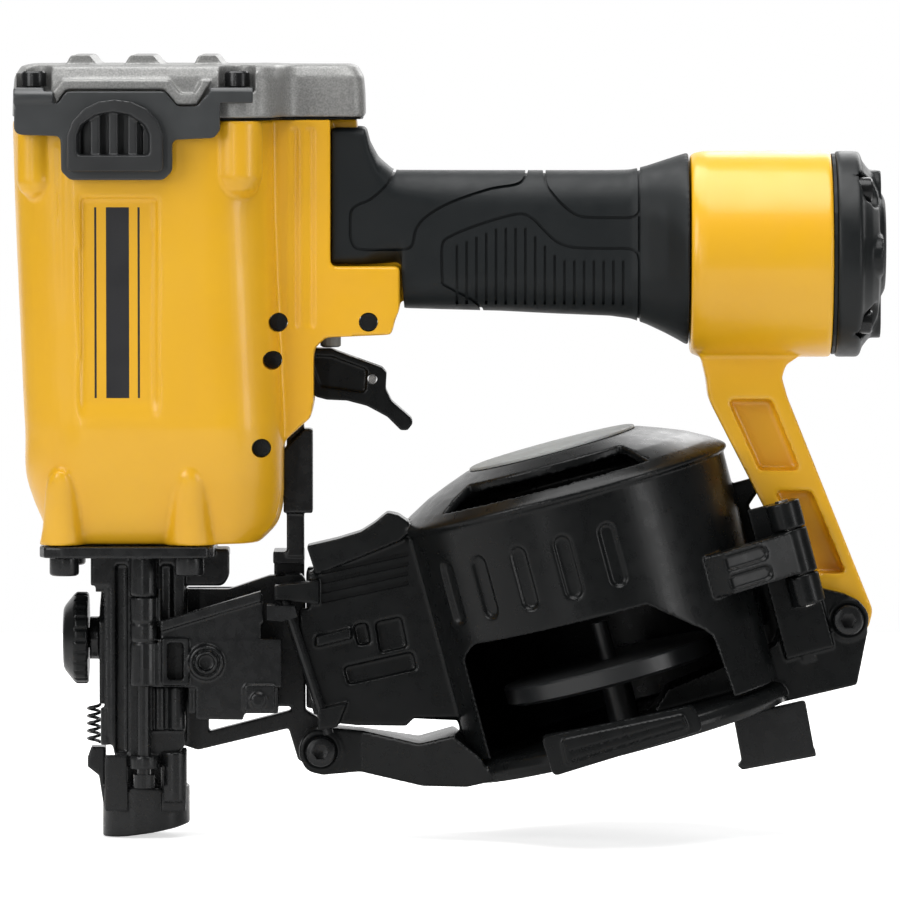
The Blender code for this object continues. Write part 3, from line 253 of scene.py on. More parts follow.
def ring_points(half_x, half_y, corner, centre_x, steps=14):
    """A rounded rectangle centred on the tool's own plane."""
    points = []
    for quarter in range(4):
        sign_x = (1, -1, -1, 1)[quarter]
        sign_y = (1, 1, -1, -1)[quarter]
        for step in range(steps + 1):
            a = math.pi / 2.0 * (quarter + step / steps)
            points.append((centre_x + sign_x * (half_x - corner) + corner * math.cos(a),
                           sign_y * (half_y - corner) + corner * math.sin(a)))
    return points


def loft(rings, matrix=None):
    """A closed solid through rings with the same number of points."""
    bm = bmesh.new()
    loops = [[bm.verts.new(mm(*point)) for point in ring] for ring in rings]
    for first, second in zip(loops, loops[1:]):
        for i in range(len(first)):
            j = (i + 1) % len(first)
            bm.faces.new((first[i], first[j], second[j], second[i]))
    ends = [bm.faces.new(loops[0]), bm.faces.new(loops[-1])]
    bm.normal_update()
    bmesh.ops.triangulate(bm, faces=ends, ngon_method="EAR_CLIP")
    return from_bmesh(bm, matrix)


def eased(rows, count=5):
    """More rows between the given ones, on a smooth curve through them."""
    result = []
    for i in range(len(rows) - 1):
        p0, p1, p2 = rows[max(i - 1, 0)], rows[i], rows[i + 1]
        p3 = rows[min(i + 2, len(rows) - 1)]
        for step in range(count):
            t = step / count
            result.append(tuple(0.5 * (2 * b + (c - a) * t + (2 * a - 5 * b + 4 * c - d) * t * t
                                       + (3 * b - a - 3 * c + d) * t ** 3)
                                for a, b, c, d in zip(p0, p1, p2, p3)))
    result.append(tuple(rows[-1]))
    return result


def bake(obj):
    """Apply an object's modifiers to its mesh."""
    bpy.context.view_layer.update()
    mesh = bpy.data.meshes.new_from_object(obj.evaluated_get(bpy.context.evaluated_depsgraph_get()))
    old = obj.data
    obj.modifiers.clear()
    obj.data = mesh
    bpy.data.meshes.remove(old)
    mesh.name = obj.name


def combine(target, tools, operation):
    """A boolean with each tool in turn. The tools are used up."""
    for tool in tools:
        step = target.modifiers.new("combine", "BOOLEAN")
        step.operation = operation
        step.solver = "MANIFOLD"
        step.object = tool
    bake(target)
    for tool in tools:
        bpy.data.objects.remove(tool, do_unlink=True)
    return target


def join(target, *tools):
    return combine(target, tools, "UNION")


def cut(target, *tools):
    return combine(target, tools, "DIFFERENCE")


def common(target, *tools):
    return combine(target, tools, "INTERSECT")


def soften(obj, voxel, passes=4, keep=0.4):
    """A voxel skin over the solid, relaxed so that its edges are rounded, then thinned."""
    skin = obj.modifiers.new("skin", "REMESH")
    skin.mode = "VOXEL"
    skin.voxel_size = mm(voxel * COARSE)
    relax = obj.modifiers.new("relax", "SMOOTH")
    relax.factor = 0.5
    relax.iterations = passes
    thin = obj.modifiers.new("thin", "DECIMATE")
    thin.ratio = min(1.0, keep * COARSE)
    bake(obj)


# Skins in common use: voxel size in millimetres, relaxing passes and share of the faces kept
FINE_SKIN = (0.36, 3, 0.4)
MOULDED_SKIN = (0.5, 4, 0.34)


def cad_copy(node):
    """A new object with the shape of a CAD node, to be worked on."""
    source = frame["nodes"][node]
    mesh = source.data.copy()
    mesh.transform(source.matrix_world)
    obj = bpy.data.objects.new(node + "_work", mesh)
    bpy.context.scene.collection.objects.link(obj)
    bm = bmesh.new()
    bm.from_mesh(mesh)
    bmesh.ops.remove_doubles(bm, verts=bm.verts, dist=0.000002)
    bm.to_mesh(mesh)
    bm.free()
    return obj


# ---------------------------------------------------------------- finishes

def node(tree, kind, **settings):
    item = tree.nodes.new(kind)
    for key, value in settings.items():
        if hasattr(item, key) and key not in item.inputs:
            setattr(item, key, value)
        else:
            item.inputs[key.replace("_", " ")].default_value = value
    return item


def noise(tree, coords, scale, detail=4.0):
    item = node(tree, "ShaderNodeTexNoise", Scale=scale, Detail=detail)
    tree.links.new(coords, item.inputs["Vector"])
    return item.outputs["Fac"]


def spread(tree, value, low, high):
    """The value's middle range stretched to run from low to high."""
    item = node(tree, "ShaderNodeMapRange", From_Min=0.3, From_Max=0.7, To_Min=low, To_Max=high)
    tree.links.new(value, item.inputs["Value"])
    return item.outputs["Result"]


def mixed(tree, factor, first, second):
    item = node(tree, "ShaderNodeMix", data_type="RGBA")
    tree.links.new(factor, item.inputs["Factor"])
    for socket, colour in ((item.inputs["A"], first), (item.inputs["B"], second)):
        if isinstance(colour, tuple):
            socket.default_value = (*colour, 1.0)
        else:
            tree.links.new(colour, socket)
    return item.outputs["Result"]


def finish(name, colour, shade, roughness, metallic=0.0, tone_scale=60.0, grain_scale=2600.0, grain=0.05,
           depth=0.02, coat=0.0, specular=0.5, speckle=None):
    """A finish with drifting tone, uneven gloss and a fine grain. Scales are per metre, depth in mm."""
    material = bpy.data.materials.new(name)
    material.use_nodes = True
    tree = material.node_tree
    shader = tree.nodes["Principled BSDF"]
    coords = node(tree, "ShaderNodeTexCoord").outputs["Object"]
    tone = spread(tree, noise(tree, coords, tone_scale), 0.0, 1.0)
    base = mixed(tree, tone, colour, shade)
    fine = noise(tree, coords, grain_scale, 2.0)
    if speckle:
        base = mixed(tree, spread(tree, fine, 0.0, 1.0), base, speckle)
    tree.links.new(base, shader.inputs["Base Color"])
    gloss = noise(tree, coords, tone_scale * 4.0)
    tree.links.new(spread(tree, gloss, *roughness), shader.inputs["Roughness"])
    shader.inputs["Metallic"].default_value = metallic
    shader.inputs["Specular IOR Level"].default_value = specular
    shader.inputs["Coat Weight"].default_value = coat
    shader.inputs["Coat Roughness"].default_value = 0.12
    bump = node(tree, "ShaderNodeBump", Strength=grain, Distance=mm(depth))
    tree.links.new(fine, bump.inputs["Height"])
    tree.links.new(bump.outputs["Normal"], shader.inputs["Normal"])
    return material


def band(tree, value, low, high):
    """1 where the value is between low and high, in millimetres, and 0 elsewhere."""
    above = node(tree, "ShaderNodeMath", operation="GREATER_THAN")
    below = node(tree, "ShaderNodeMath", operation="LESS_THAN")
    both = node(tree, "ShaderNodeMath", operation="MULTIPLY")
    for item, limit in ((above, low), (below, high)):
        tree.links.new(value, item.inputs[0])
        item.inputs[1].default_value = mm(limit)
    tree.links.new(above.outputs[0], both.inputs[0])
    tree.links.new(below.outputs[0], both.inputs[1])
    return both.outputs[0]


def add_print(material, bars, low, high, proud):
    """Blank upright bars printed in black on both flanks: pairs along X, between two heights."""
    tree = material.node_tree
    shader = tree.nodes["Principled BSDF"]
    place = node(tree, "ShaderNodeSeparateXYZ")
    tree.links.new(node(tree, "ShaderNodeTexCoord").outputs["Object"], place.inputs[0])
    side = node(tree, "ShaderNodeMath", operation="ABSOLUTE")
    tree.links.new(place.outputs["Y"], side.inputs[0])
    ink = None
    for left, right in bars:
        stripe = band(tree, place.outputs["X"], left, right)
        if ink is not None:
            total = node(tree, "ShaderNodeMath", operation="ADD")
            tree.links.new(ink, total.inputs[0])
            tree.links.new(stripe, total.inputs[1])
            stripe = total.outputs[0]
        ink = stripe
    for gate in (band(tree, place.outputs["Z"], low, high), band(tree, side.outputs[0], proud, 100.0)):
        product = node(tree, "ShaderNodeMath", operation="MULTIPLY")
        tree.links.new(ink, product.inputs[0])
        tree.links.new(gate, product.inputs[1])
        ink = product.outputs[0]
    paint = shader.inputs["Base Color"].links[0].from_socket
    tree.links.new(mixed(tree, ink, paint, (0.012, 0.012, 0.014)), shader.inputs["Base Color"])


FINISH = {
    "yellow_paint": finish(
        "yellow_paint_skin", (0.78, 0.42, 0.012), (0.74, 0.385, 0.010), (0.30, 0.40),
        tone_scale=25, grain_scale=700, grain=0.10, depth=0.03, coat=0.15),
    "cast_aluminium": finish(
        "cast_aluminium_skin", (0.20, 0.20, 0.195), (0.16, 0.16, 0.16), (0.40, 0.52),
        metallic=0.35, grain_scale=1700, grain=0.22, depth=0.05, speckle=(0.30, 0.30, 0.29)),
    "grip_rubber": finish(
        "grip_rubber_skin", (0.0055, 0.0075, 0.0085), (0.0075, 0.0095, 0.0105), (0.46, 0.56),
        grain_scale=3200, grain=0.22, depth=0.04, specular=0.25),
    "black_plastic": finish(
        "black_plastic_skin", (0.0035, 0.004, 0.0042), (0.0055, 0.006, 0.0062), (0.25, 0.33),
        grain=0.03, specular=0.21),
    "black_steel": finish(
        "black_steel_skin", (0.007, 0.0075, 0.008), (0.012, 0.0125, 0.013), (0.22, 0.32),
        metallic=0.25, grain_scale=2200, grain=0.14, depth=0.03, specular=0.42),
    "bright_steel": finish(
        "bright_steel_skin", (0.50, 0.49, 0.47), (0.40, 0.39, 0.38), (0.22, 0.36), metallic=1.0, grain=0.08),
    "grey_trim": finish("grey_trim_skin", (0.27, 0.28, 0.27), (0.23, 0.24, 0.24), (0.45, 0.6), grain=0.1),
}
DARK_TRIM = finish("dark_trim_skin", (0.014, 0.015, 0.016), (0.019, 0.020, 0.021), (0.32, 0.42))
END_BLACK = finish(
    "end_black_skin", (0.0065, 0.0078, 0.0082), (0.009, 0.0105, 0.011), (0.38, 0.46),
    grain=0.10, specular=0.28)
COVER_GREY = finish(
    "cover_grey_skin", (0.030, 0.0325, 0.034), (0.038, 0.041, 0.0425), (0.32, 0.42), grain=0.12)

# A blank bar between two fine lines stands where the real tool carries lettering
add_print(FINISH["yellow_paint"], ((-112.6, -111.9), (-108.9, -101.6), (-98.9, -98.2)), low=142.5, high=203.0,
          proud=38.0)


def show(piece, slot, name, *nodes, skin=None, crease=48.0):
    """Name a finished piece, give it its finish and let it ride with the first CAD node that it replaces."""
    piece.name = name
    piece.data.name = name
    piece.data.materials.clear()
    piece.data.materials.append(skin or FINISH[slot])
    piece.data.shade_smooth()
    piece.data.set_sharp_from_angle(angle=math.radians(crease))
    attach(piece, frame["nodes"][nodes[0]].parent.name.split(":", 1)[1])
    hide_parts(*nodes)


# ---------------------------------------------------------------- main casting

def housing():
    levels = ((95.3, -129.2, -61.0, 27.8, 15.0), (101.4, -130.0, -55.2, 30.2, 17.0),
              (109.0, -133.0, -53.4, 33.6, 19.0), (118.2, -135.4, -53.2, 37.4, 20.0),
              (131.0, -135.5, -53.2, 40.0, 21.0), (141.0, -136.0, -53.6, 40.3, 21.0),
              (175.0, -137.4, -55.2, 41.0, 21.5), (202.4, -138.5, -56.2, 41.5, 22.0),
              (BARREL_TOP + 2.0, -139.3, -56.6, 41.8, 22.0))
    rings = [[(x, y, z) for x, y in ring_points((right - left) / 2, half, corner, (left + right) / 2)]
             for z, left, right, half, corner in eased(levels)]
    body = loft(rings)
    root = [(-75, 96.6), (-62.4, 96.6), (-58.0, 99.2), (-55.4, 103.4), (-53.9, 110.0), (-53.9, 124.6),
            (-52.2, 128.4), (-44.4, 135.4), (-43.5, 139.7), (-43.5, 154.3), (-42.9, 157.7), (-39.5, 160.9),
            (-18.6, 161.8), (-17.4, 166.5), (-16.0, 170.0), (-16.0, 183.6), (-38.1, 183.6),
            (-38.1, BARREL_TOP + 2), (-75, BARREL_TOP + 2)]
    join(body, plate(rounded(root, 1.6), -ROOT_HALF, ROOT_HALF))
    core = [(-60, 172.4), (-12, 172.4), (52, 172), (66, 170), (78, 162), (90, 162), (90, 214), (78, 214),
            (66, 208), (-18, 208), (-24, 213), (-29, 222), (-30, BARREL_TOP + 2), (-60, BARREL_TOP + 2)]
    join(body, plate(core, -CORE_HALF, CORE_HALF))
    tail = [(0, TAIL_END), (TAIL_R - 0.4, TAIL_END), (TAIL_R, TAIL_END - 0.6), (TAIL_R, TAIL_FRONT + 5),
            (TAIL_R - 0.4, TAIL_FRONT + 2), (TAIL_R - 1.4, TAIL_FRONT), (0, TAIL_FRONT)]
    join(body, turned(tail, (0, 0, TAIL_Z), (1, 0, 0), 128))
    arm = [(78, 168), (78, 158.5), (80.6, 153), (82.0, 147), (82.7, 141.3), (84.0, 138.2), (100.4, 106.3),
           (119.4, 75.5), (127.3, 64.3, 4), (133.9, 66.0, 5), (135.6, 73.0, 4), (108.1, 141.3),
           (106.3, 147.6), (107.6, 151.6), (112, 154.6), (114, 168)]
    join(body, plate(rounded(arm, 1.0), -ARM_HALF, ARM_HALF))
    columns, foot = [], 206.0
    for side in (-1, 1):
        for x, radius in ((-131.6, 5.7), (-67.3, 8.0)):
            columns.append(turned([(0, BARREL_TOP + 1), (radius, BARREL_TOP + 1),
                                   (radius, foot + radius * 0.8), (radius * 0.8, foot + radius * 0.3),
                                   (radius * 0.4, foot), (0, foot - 0.6)], (x, side * 35.2, 0), steps=48))
        # Bosses over the nose bolts: concave-sided arches that lean with the wall
        for x, wide in ((-123.6, 1.0), (-82.6, 1.12)):
            arch = eased(((95.1, 7.2, 25.8), (100.0, 6.2, 28.0), (106.0, 5.6, 30.4), (112.0, 5.0, 32.8),
                          (116.0, 4.2, 34.5), (118.5, 2.6, 36.2), (119.4, 0.8, 37.4)), 3)
            columns.append(loft([[(x + r * wide * math.cos(2 * math.pi * i / 40),
                                   side * (y + r * math.sin(2 * math.pi * i / 40)), z) for i in range(40)]
                                 for z, r, y in arch]))
    join(body, *columns)
    tools = [block((-150, -60, BARREL_TOP), (0, 60, 250))]
    for side in (-1, 1):
        panel = [(side * 50, 207.0), (side * 39.9, 206.0), (side * 39.4, 170.0), (side * 39.0, 141.0),
                 (side * 42.0, 129.0)]
        tools.append(plate(panel, -117.0, -92.6, "YZ"))
        tools.append(rod((-124.0, side * 42.2, 223), (-123.4, side * 41.0, 119), 2.3, 24))
        tools.append(rod((-133.4, side * 37.6, 200), (-130.2, side * 36.6, 122), 1.6, 24))
        for x in (-49.6, -44.6):
            tools.append(rod((x, side * 22.4, 228), (x, side * 22.4, 164), 2.0, 24))
        for pocket in ([(88.9, 140.6), (102.8, 140.6), (112.1, 117.9), (99.2, 117.9)],
                       [(104.0, 111.2), (115.7, 111.2), (126.8, 84.8), (117.5, 84.8)]):
            tools.append(flank(rounded(pocket, 1.0), side, 1.8, 12.0))
    cut(body, *tools)
    soften(body, 0.75, 5, 0.34)
    bore = [(0, 233), (31.5, 233), (31.5, 121.5), (26.5, 121.5), (26.5, 105.0), (9.0, 105.0), (9.0, 90.0),
            (0, 90.0)]
    slot = [(-62.0, 139), (-62.0, 161.5), (-10, 161.5), (-10, 120), (-53.0, 120), (-53.0, 139)]
    tools = [turned(bore, (AXIS_X, 0, 0)), rod((-80, 0, 191), (104, 0, 191), 9.0),
             rod((98, 0, TAIL_Z), (126, 0, TAIL_Z), 26.0, 64), plate(slot, -6.3, 6.3),
             rod((-38.3, 0, 150), (-38.3, 0, 178), 6.8)]
    for pin in ("valve_pin_front", "valve_pin_rear", "guide_pin", "trigger_pin"):
        spot = centre_mm(pin)
        tools.append(cross_rod(spot.x, spot.z, -60, 60, 3.05, 40))
    tools.append(cross_rod(REAR_BOLT.x, REAR_BOLT.z, -20, 20, BOLT_BORE_R, 40))
    cut(body, *tools)
    show(body, "yellow_paint", "housing_casting", "main_housing", crease=40.0)


def cap_outline(grow=0.0):
    left, half, neck, right = -139.3 - grow, 41.8 + grow, 21.0 + grow, -27.0 + grow
    points = [(left, -half, 22), (-56.5, -half, 22), (-52.0, -neck, 8), (right, -neck, 6), (right, neck, 6),
              (-52.0, neck, 8), (-56.5, half, 22), (left, half, 22)]
    return rounded(points, 8.0, 12)


def cap():
    rings = [[(x, y, z) for x, y in cap_outline(grow)]
             for z, grow in ((CAP_BOTTOM, 0.0), (CAP_TOP - 8.0, -0.2), (CAP_TOP - 2.9, -0.7),
                             (CAP_TOP + 0.4, -2.6),
                             (CAP_TOP + 1.0, -4.4))]
    body = loft(rings)
    extras = []
    for x, half in ((-116.7, 6.9), (-97.1, 8.2), (-76.4, 6.4)):
        bump = [(x - half, CAP_TOP - 2), (x - half * 0.55, CAP_PEAK), (x + half * 0.35, CAP_PEAK),
                (x + half, CAP_TOP - 2)]
        extras.append(plate(rounded(bump, 1.2), -27.0, 27.0))
    for side in (-1, 1):
        bead = [(-125.9, 239.2), (-122.4, 243.3), (-89.0, 243.3), (-85.0, 238.8), (-80.8, 238.8),
                (-78.4, 243.0), (-75.5, 243.0), (-77.4, 239.8), (-80.0, 235.4), (-86.2, 235.4),
                (-90.2, 240.3), (-121.2, 240.3), (-124.2, 236.0)]
        extras.append(flank(bead, side, 40.0, 44.6))
        for spot in (CAP_BOLTS[0], CAP_BOLTS[2]):
            radius = 8.2 if spot.x > -100 else 6.2
            depth = side * 35.0
            extras.append(rod((spot.x, depth, CAP_BOTTOM), (spot.x, depth, CAP_TOP - 1.5), radius))
    join(body, *extras)
    tools = [block((-200, -60, CAP_BOTTOM - 5), (0, 60, CAP_BOTTOM + 0.02))]
    for spot in CAP_BOLTS:
        away = 30.0 if spot.y > 0 else -30.0
        seat = slot_outline((spot.x, spot.y + away - math.copysign(5.6, away)), 60.0, 11.4, 90.0, 16)
        tools.append(plate(seat, 239.2, 260.0, "XY"))
    cut(body, *tools)
    soften(body, 0.6, 4, 0.4)
    spring_top = box_mm("head_valve_spring")[1].z + 4.6
    tools = [turned([(0, 241), (31.3, 241), (31.3, 225), (0, 225)], (AXIS_X, 0, 0)),
             turned([(0, spring_top), (28.0, spring_top), (28.0, 235), (0, 235)], (AXIS_X, 0, 0))]
    for spot in CAP_BOLTS:
        tools.append(rod((spot.x, spot.y, 225), (spot.x, spot.y, 255), CAP_BORE_R, 24))
    cut(body, *tools)
    show(body, "cast_aluminium", "cap_casting", "top_cap")


def shield():
    outline = [(-137.8, 226.0, 3), (-123.0, 225.6, 2), (-122.8, 214.5, 2), (-120.0, 211.7, 3),
               (-90.5, 211.7, 3), (-87.7, 214.5, 3), (-87.7, 224.4, 2), (-74.5, 225.0, 2),
               (-72.6, 227.5, 1), (-72.6, 238.5, 1), (-76.5, 239.0, 2), (-80.0, 234.9, 2),
               (-86.0, 234.9, 2), (-90.2, 239.7, 2), (-121.1, 239.7, 2), (-124.0, 235.6, 2),
               (-127.5, 236.3, 1), (-128.4, 239.6, 1), (-137.4, 239.6, 1)]
    body = plate(rounded(outline, 0.0), -46.0, -42.4)
    strap = [(-44.0, 239.5), (-29.8, 239.5), (-29.8, 240.9), (-45.0, 240.9), (-46.0, 239.6), (-46.0, 236.0),
             (-44.2, 236.0)]
    join(body, rod((-137.7, -45.2, 237.8), (-125.2, -45.2, 237.8), 2.0), plate(strap, -137.9, -128.4, "YZ"),
         plate(strap, -76.0, -62.2, "YZ"))
    port = [(-116.4, 218.0), (-97.0, 218.0), (-97.0, 228.0), (-99.8, 232.6), (-106.7, 234.4), (-113.6, 232.6),
            (-116.4, 228.0)]
    cut(body, plate(port, -50, -43.1), rod((-131.8, -35, 230), (-131.8, -35, 250), 2.7),
        rod((-67.4, -35, 230), (-67.4, -35, 250), 2.7))
    soften(body, 0.38, 3, 0.35)
    show(body, "black_plastic", "exhaust_cover", "exhaust_shield", skin=COVER_GREY)
    outer = [(-120.7, 214.6), (-90.5, 214.6), (-90.5, 226.0), (-92.0, 230.2), (-95.6, 234.2), (-100.4, 236.5),
             (-105.6, 237.2), (-110.8, 236.5), (-115.6, 234.2), (-119.2, 230.2), (-120.7, 226.0)]
    inner = [(-117.4, 219.8), (-95.2, 219.8), (-95.2, 226.0), (-96.6, 229.2), (-101.0, 232.2),
             (-106.3, 233.2), (-111.6, 232.2), (-116.0, 229.2), (-117.4, 226.0)]
    rim = plate(rounded(outer, 1.5), -51.3, -46.6)
    middle_x, middle_z = -106.3, 225.8
    rings = []
    for y, grow in ((-52.0, 1.10), (-50.2, 1.0), (-40.0, 0.97)):
        opening = [(middle_x + (x - middle_x) * grow, middle_z + (z - middle_z) * grow) for x, z in inner]
        rings.append([(x, y, z) for x, z in rounded(opening, 1.5)])
    dish = loft(rings)
    cut(rim, dish)
    bars = [block((x - 1.5, -49.8, 218.0), (x + 1.5, -47.0, 234.0)) for x in (-111.9, -106.2, -100.1)]
    join(rim, *bars)
    soften(rim, 0.32, 4, 0.4)
    show(rim, "black_plastic", "exhaust_louvre", "exhaust_grille", skin=DARK_TRIM)


# ---------------------------------------------------------------- handle and tail

def ribbon(points, width, reach=40.0):
    """A wall of the given width that follows a path in XZ, right across the tool."""
    left, right = [], []
    for i, point in enumerate(points):
        here = Vector(point)
        along = Vector(points[min(i + 1, len(points) - 1)]) - Vector(points[max(i - 1, 0)])
        across = Vector((-along.y, along.x)).normalized() * width / 2.0
        left.append(tuple(here + across))
        right.append(tuple(here - across))
    return plate(left + right[::-1], -reach, reach)


def grip():
    sections = ((-37.7, 184.3, 227.8, 18.0, 2.5), (-32.0, 184.2, 227.8, 18.0, 3.0),
                (-26.9, 184.2, 227.8, 18.0, 3.5), (-25.6, 184.2, 222.8, 18.0, 5.0),
                (-22.9, 184.2, 217.9, 18.0, 7.0), (-18.0, 184.2, 213.8, 18.0, 9.0),
                (-15.6, 184.2, 213.8, 18.0, 9.5), (-15.4, 169.9, 213.8, 18.0, 10.0),
                (-4.0, 169.5, 213.8, 18.0, 12.0), (16.1, 168.9, 213.8, 18.0, 13.5),
                (34.0, 168.0, 213.8, 18.0, 13.5), (51.3, 167.3, 213.8, 18.0, 13.5),
                (58.0, 166.4, 214.0, 18.3, 14.0), (63.0, 164.6, 215.2, 20.4, 16.0),
                (69.3, 161.6, 217.3, 24.5, 21.0), (73.5, 159.3, 218.7, 28.2, 26.0),
                (76.4, 157.5, 219.6, 30.6, 30.0))
    rings = [[(x, y, z) for z, y in ring_points((high - low) / 2, half, corner, (low + high) / 2)]
             for x, low, high, half, corner in sections]
    body = loft(rings)
    soften(body, 0.8, 5, 0.5)
    inner = bpy.data.objects.new("grip_inner", body.data.copy())
    bpy.context.scene.collection.objects.link(inner)
    shrink = inner.modifiers.new("shrink", "DISPLACE")
    shrink.strength = mm(-0.9)
    shrink.mid_level = 0.0
    bake(inner)
    collar = [(-17.4, 214.5), (-18.6, 212.0), (-20.8, 208.9), (-25.4, 204.9), (-29.4, 203.2),
              (-31.5, 201.0), (-31.8, 196.0), (-31.4, 191.6), (-29.0, 189.1), (-21.0, 188.9),
              (-13.9, 189.1), (-11.9, 190.9), (-10.8, 195.4), (-7.5, 199.5), (-0.1, 203.8), (12.1, 208.0),
              (21.0, 209.6), (23.8, 211.6), (24.8, 214.5)]
    panel = [(-2.4, 178.0), (-2.6, 184.0), (-2.4, 190.4), (-0.2, 193.0), (7.8, 196.4), (16.0, 199.0),
             (22.5, 200.3), (26.3, 198.9), (29.8, 195.4), (33.5, 191.9), (37.0, 190.2), (41.0, 189.5),
             (50.0, 189.3), (56.8, 189.2), (59.6, 188.0), (60.3, 185.4)]
    hook = [(-2.4, 178.0), (1.6, 175.8), (6.4, 173.2), (9.4, 170.6), (10.6, 168.0)]
    back = [(30.2, 214.6), (30.6, 210.0), (32.6, 206.8), (36.2, 203.0), (40.4, 200.0), (44.6, 199.2),
            (52.0, 199.1), (57.6, 199.2), (60.0, 200.6), (60.5, 204.0), (60.6, 214.8)]
    walls = [block((59.9, -40, 150), (60.9, 40, 230))]
    walls += [ribbon(eased(path, 6), 0.95) for path in (collar, panel, hook, back)]
    first_groove, groove_pitch, groove_count = 2.2, 3.12, 18
    for number in range(groove_count):
        x = first_groove + groove_pitch * number
        top = (190.6 + 0.42 * x) if x < 24.0 else max(186.6, 196.4 - 0.95 * (x - 25.0))
        walls.append(block((x - 0.42, -40, 171.2), (x + 0.42, 40, min(top, 197.0) - 1.2)))
    grooves = join(walls[0], *walls[1:])
    cut(grooves, inner)
    cut(body, grooves)
    root_gap = [(-75, 112), (-10, 112), (-15.7, 183.9), (-37.8, 183.9), (-37.8, 240), (-75, 240)]
    core_gap = [(-60, 172), (78, 172), (78, 208.5), (-19, 208.5), (-24.6, 213.2), (-29.6, 222),
                (-30.6, 240), (-60, 240)]
    cut(body, plate(root_gap, -21.4, 21.4), plate(core_gap, -11.8, 11.8))
    show(body, "grip_rubber", "grip_overmould", "grip_sleeve", crease=35.0)


def tail_cap():
    profile = [(0, 137.4), (16.0, 137.6), (22.0, 136.8), (26.5, 134.6), (30.0, 131.9), (TAIL_R - 0.7, 131.2),
               (TAIL_R, 130.4), (TAIL_R, 123.8), (TAIL_R - 0.5, TAIL_END + 1.3), (0, TAIL_END + 1.3)]
    body = turned(profile, (0, 0, TAIL_Z), (1, 0, 0), 128)
    boss = [(0, 139.4), (14.2, 139.4), (16.0, 138.6), (18.0, 132.0), (18.0, 126.0), (0, 126.0)]
    lobes = [turned(boss, (0, 0, INLET_Z), (1, 0, 0))]
    for angle in (0.0, 90.0, 180.0, 270.0):
        spoke = slot_outline((0.0, TAIL_Z), 54.0, 13.0, angle)
        lobes.append(plate(spoke, 126.0, 138.0, "YZ"))
    join(body, *lobes)
    tools = []
    for number in range(1, 5):
        spot = centre_mm(f"end_cap_screw_{number}")
        tools.append(rod((129.0, spot.y, spot.z), (150, spot.y, spot.z), 5.6))
    cut(body, *tools)
    soften(body, 0.6, 5, 0.4)
    cut(body, rod((110, 0, INLET_Z), (150, 0, INLET_Z), 10.3),
        rod((110, 0, TAIL_Z), (126, 0, TAIL_Z), 25.6, 64))
    show(body, "black_plastic", "tail_cap", "end_cap", skin=END_BLACK)
    inlet = [(5.6, 139.3), (7.2, 139.3), (7.8, 138.9), (8.4, 138.9), (9.6, 138.4), (10.0, 137.8),
             (10.0, 122.0), (5.6, 122.0), (5.6, 130.0), (5.2, 130.4), (5.2, 136.6), (5.6, 137.2)]
    show(turned(inlet, (0, 0, INLET_Z), (1, 0, 0), 96), "bright_steel", "inlet_thread", "air_inlet")


def trigger():
    outline = [(-59.8, 154.0, 2), (-59.0, 156.6, 1), (-56.5, 157.4, 1), (-43.3, 156.8, 1),
               (-38.2, 156.8, 1), (-36.0, 155.9, 1), (-21.8, 150.8, 1.5), (-20.3, 149.1, 1),
               (-20.6, 143.9, 2), (-18.8, 140.1, 3), (-12.4, 134.5, 1), (-11.9, 132.8, 1),
               (-13.6, 130.6, 1), (-15.8, 130.6, 1), (-20.1, 134.9, 2), (-26.6, 138.4, 3),
               (-33.0, 140.1, 3), (-39.5, 140.4, 2), (-43.3, 141.4, 2), (-46.5, 147.8, 2),
               (-56.5, 150.6, 2), (-59.0, 151.4, 1)]
    body = plate(rounded(outline, 1.0), -5.6, 5.6)
    for side in (-1, 1):
        inset = [(-45.0, 154.6), (-38.0, 154.4), (-26.5, 150.2), (-27.0, 142.6), (-34.0, 143.6),
                 (-41.5, 144.6)]
        cut(body, flank(rounded(inset, 1.5), side, 4.6, 9.0))
    soften(body, 0.3, 5, 0.3)
    cut(body, cross_rod(-56.5, 154, -20, 20, 3.1), block((-54, -1.7, 130), (-20.9, 1.7, 153.6)),
        cross_rod(-24.9, 146.9, -20, 20, 1.6))
    show(body, "black_plastic", "trigger_blade", "trigger")


# ---------------------------------------------------------------- nose and contact trip

def nose():
    body = cad_copy("nose_body")
    parts = [block((-115.0, -13.0, 81.2), (-108.6, -5.2, 92.0)),
             block((-113.4, -12.6, 79.2), (-108.6, -5.2, 84.0)),
             block((-110.7, -12.7, 42.0), (-108.6, -10.3, 80.0)),
             plate(rounded([(-86.0, 80.8), (-72.6, 80.8, 4), (-70.8, 84.0, 3), (-70.8, 92.6), (-86.0, 92.6)], 1.0),
                   -8.0, 9.0),
             rod((-87.5, -12.6, 35.0), (-87.5, -12.6, 48.9), 2.9),
             rod((-93.2, -13.0, 35.0), (-93.2, -13.0, 48.9), 2.2),
             rod((-110.2, -11.0, 30.0), (-110.2, -11.0, 42.0), 1.8)]
    join(body, *parts)
    slope = [(-84.8, 79.0), (-71.0, 79.0), (-58.0, 83.4), (-47.9, 84.0), (-47.9, 89.5), (-84.8, 89.5)]
    window = [(-77.6, 37.9), (-68.0, 37.9), (-62.9, 41.1), (-51.2, 41.1), (-51.2, 39.9), (-77.6, 33.1)]
    cut(body, block((-106.9, -15.0, 27.5), (-103.2, -11.7, 88.0)),
        block((-92.4, -15.0, 66.0), (-88.8, -11.9, 88.0)),
        plate(window, 2.0, 12.0), plate(slope, 3.0, 12.0))
    soften(body, 0.45, 3, 0.4)
    show(body, "black_steel", "nose_casting", "nose_body")


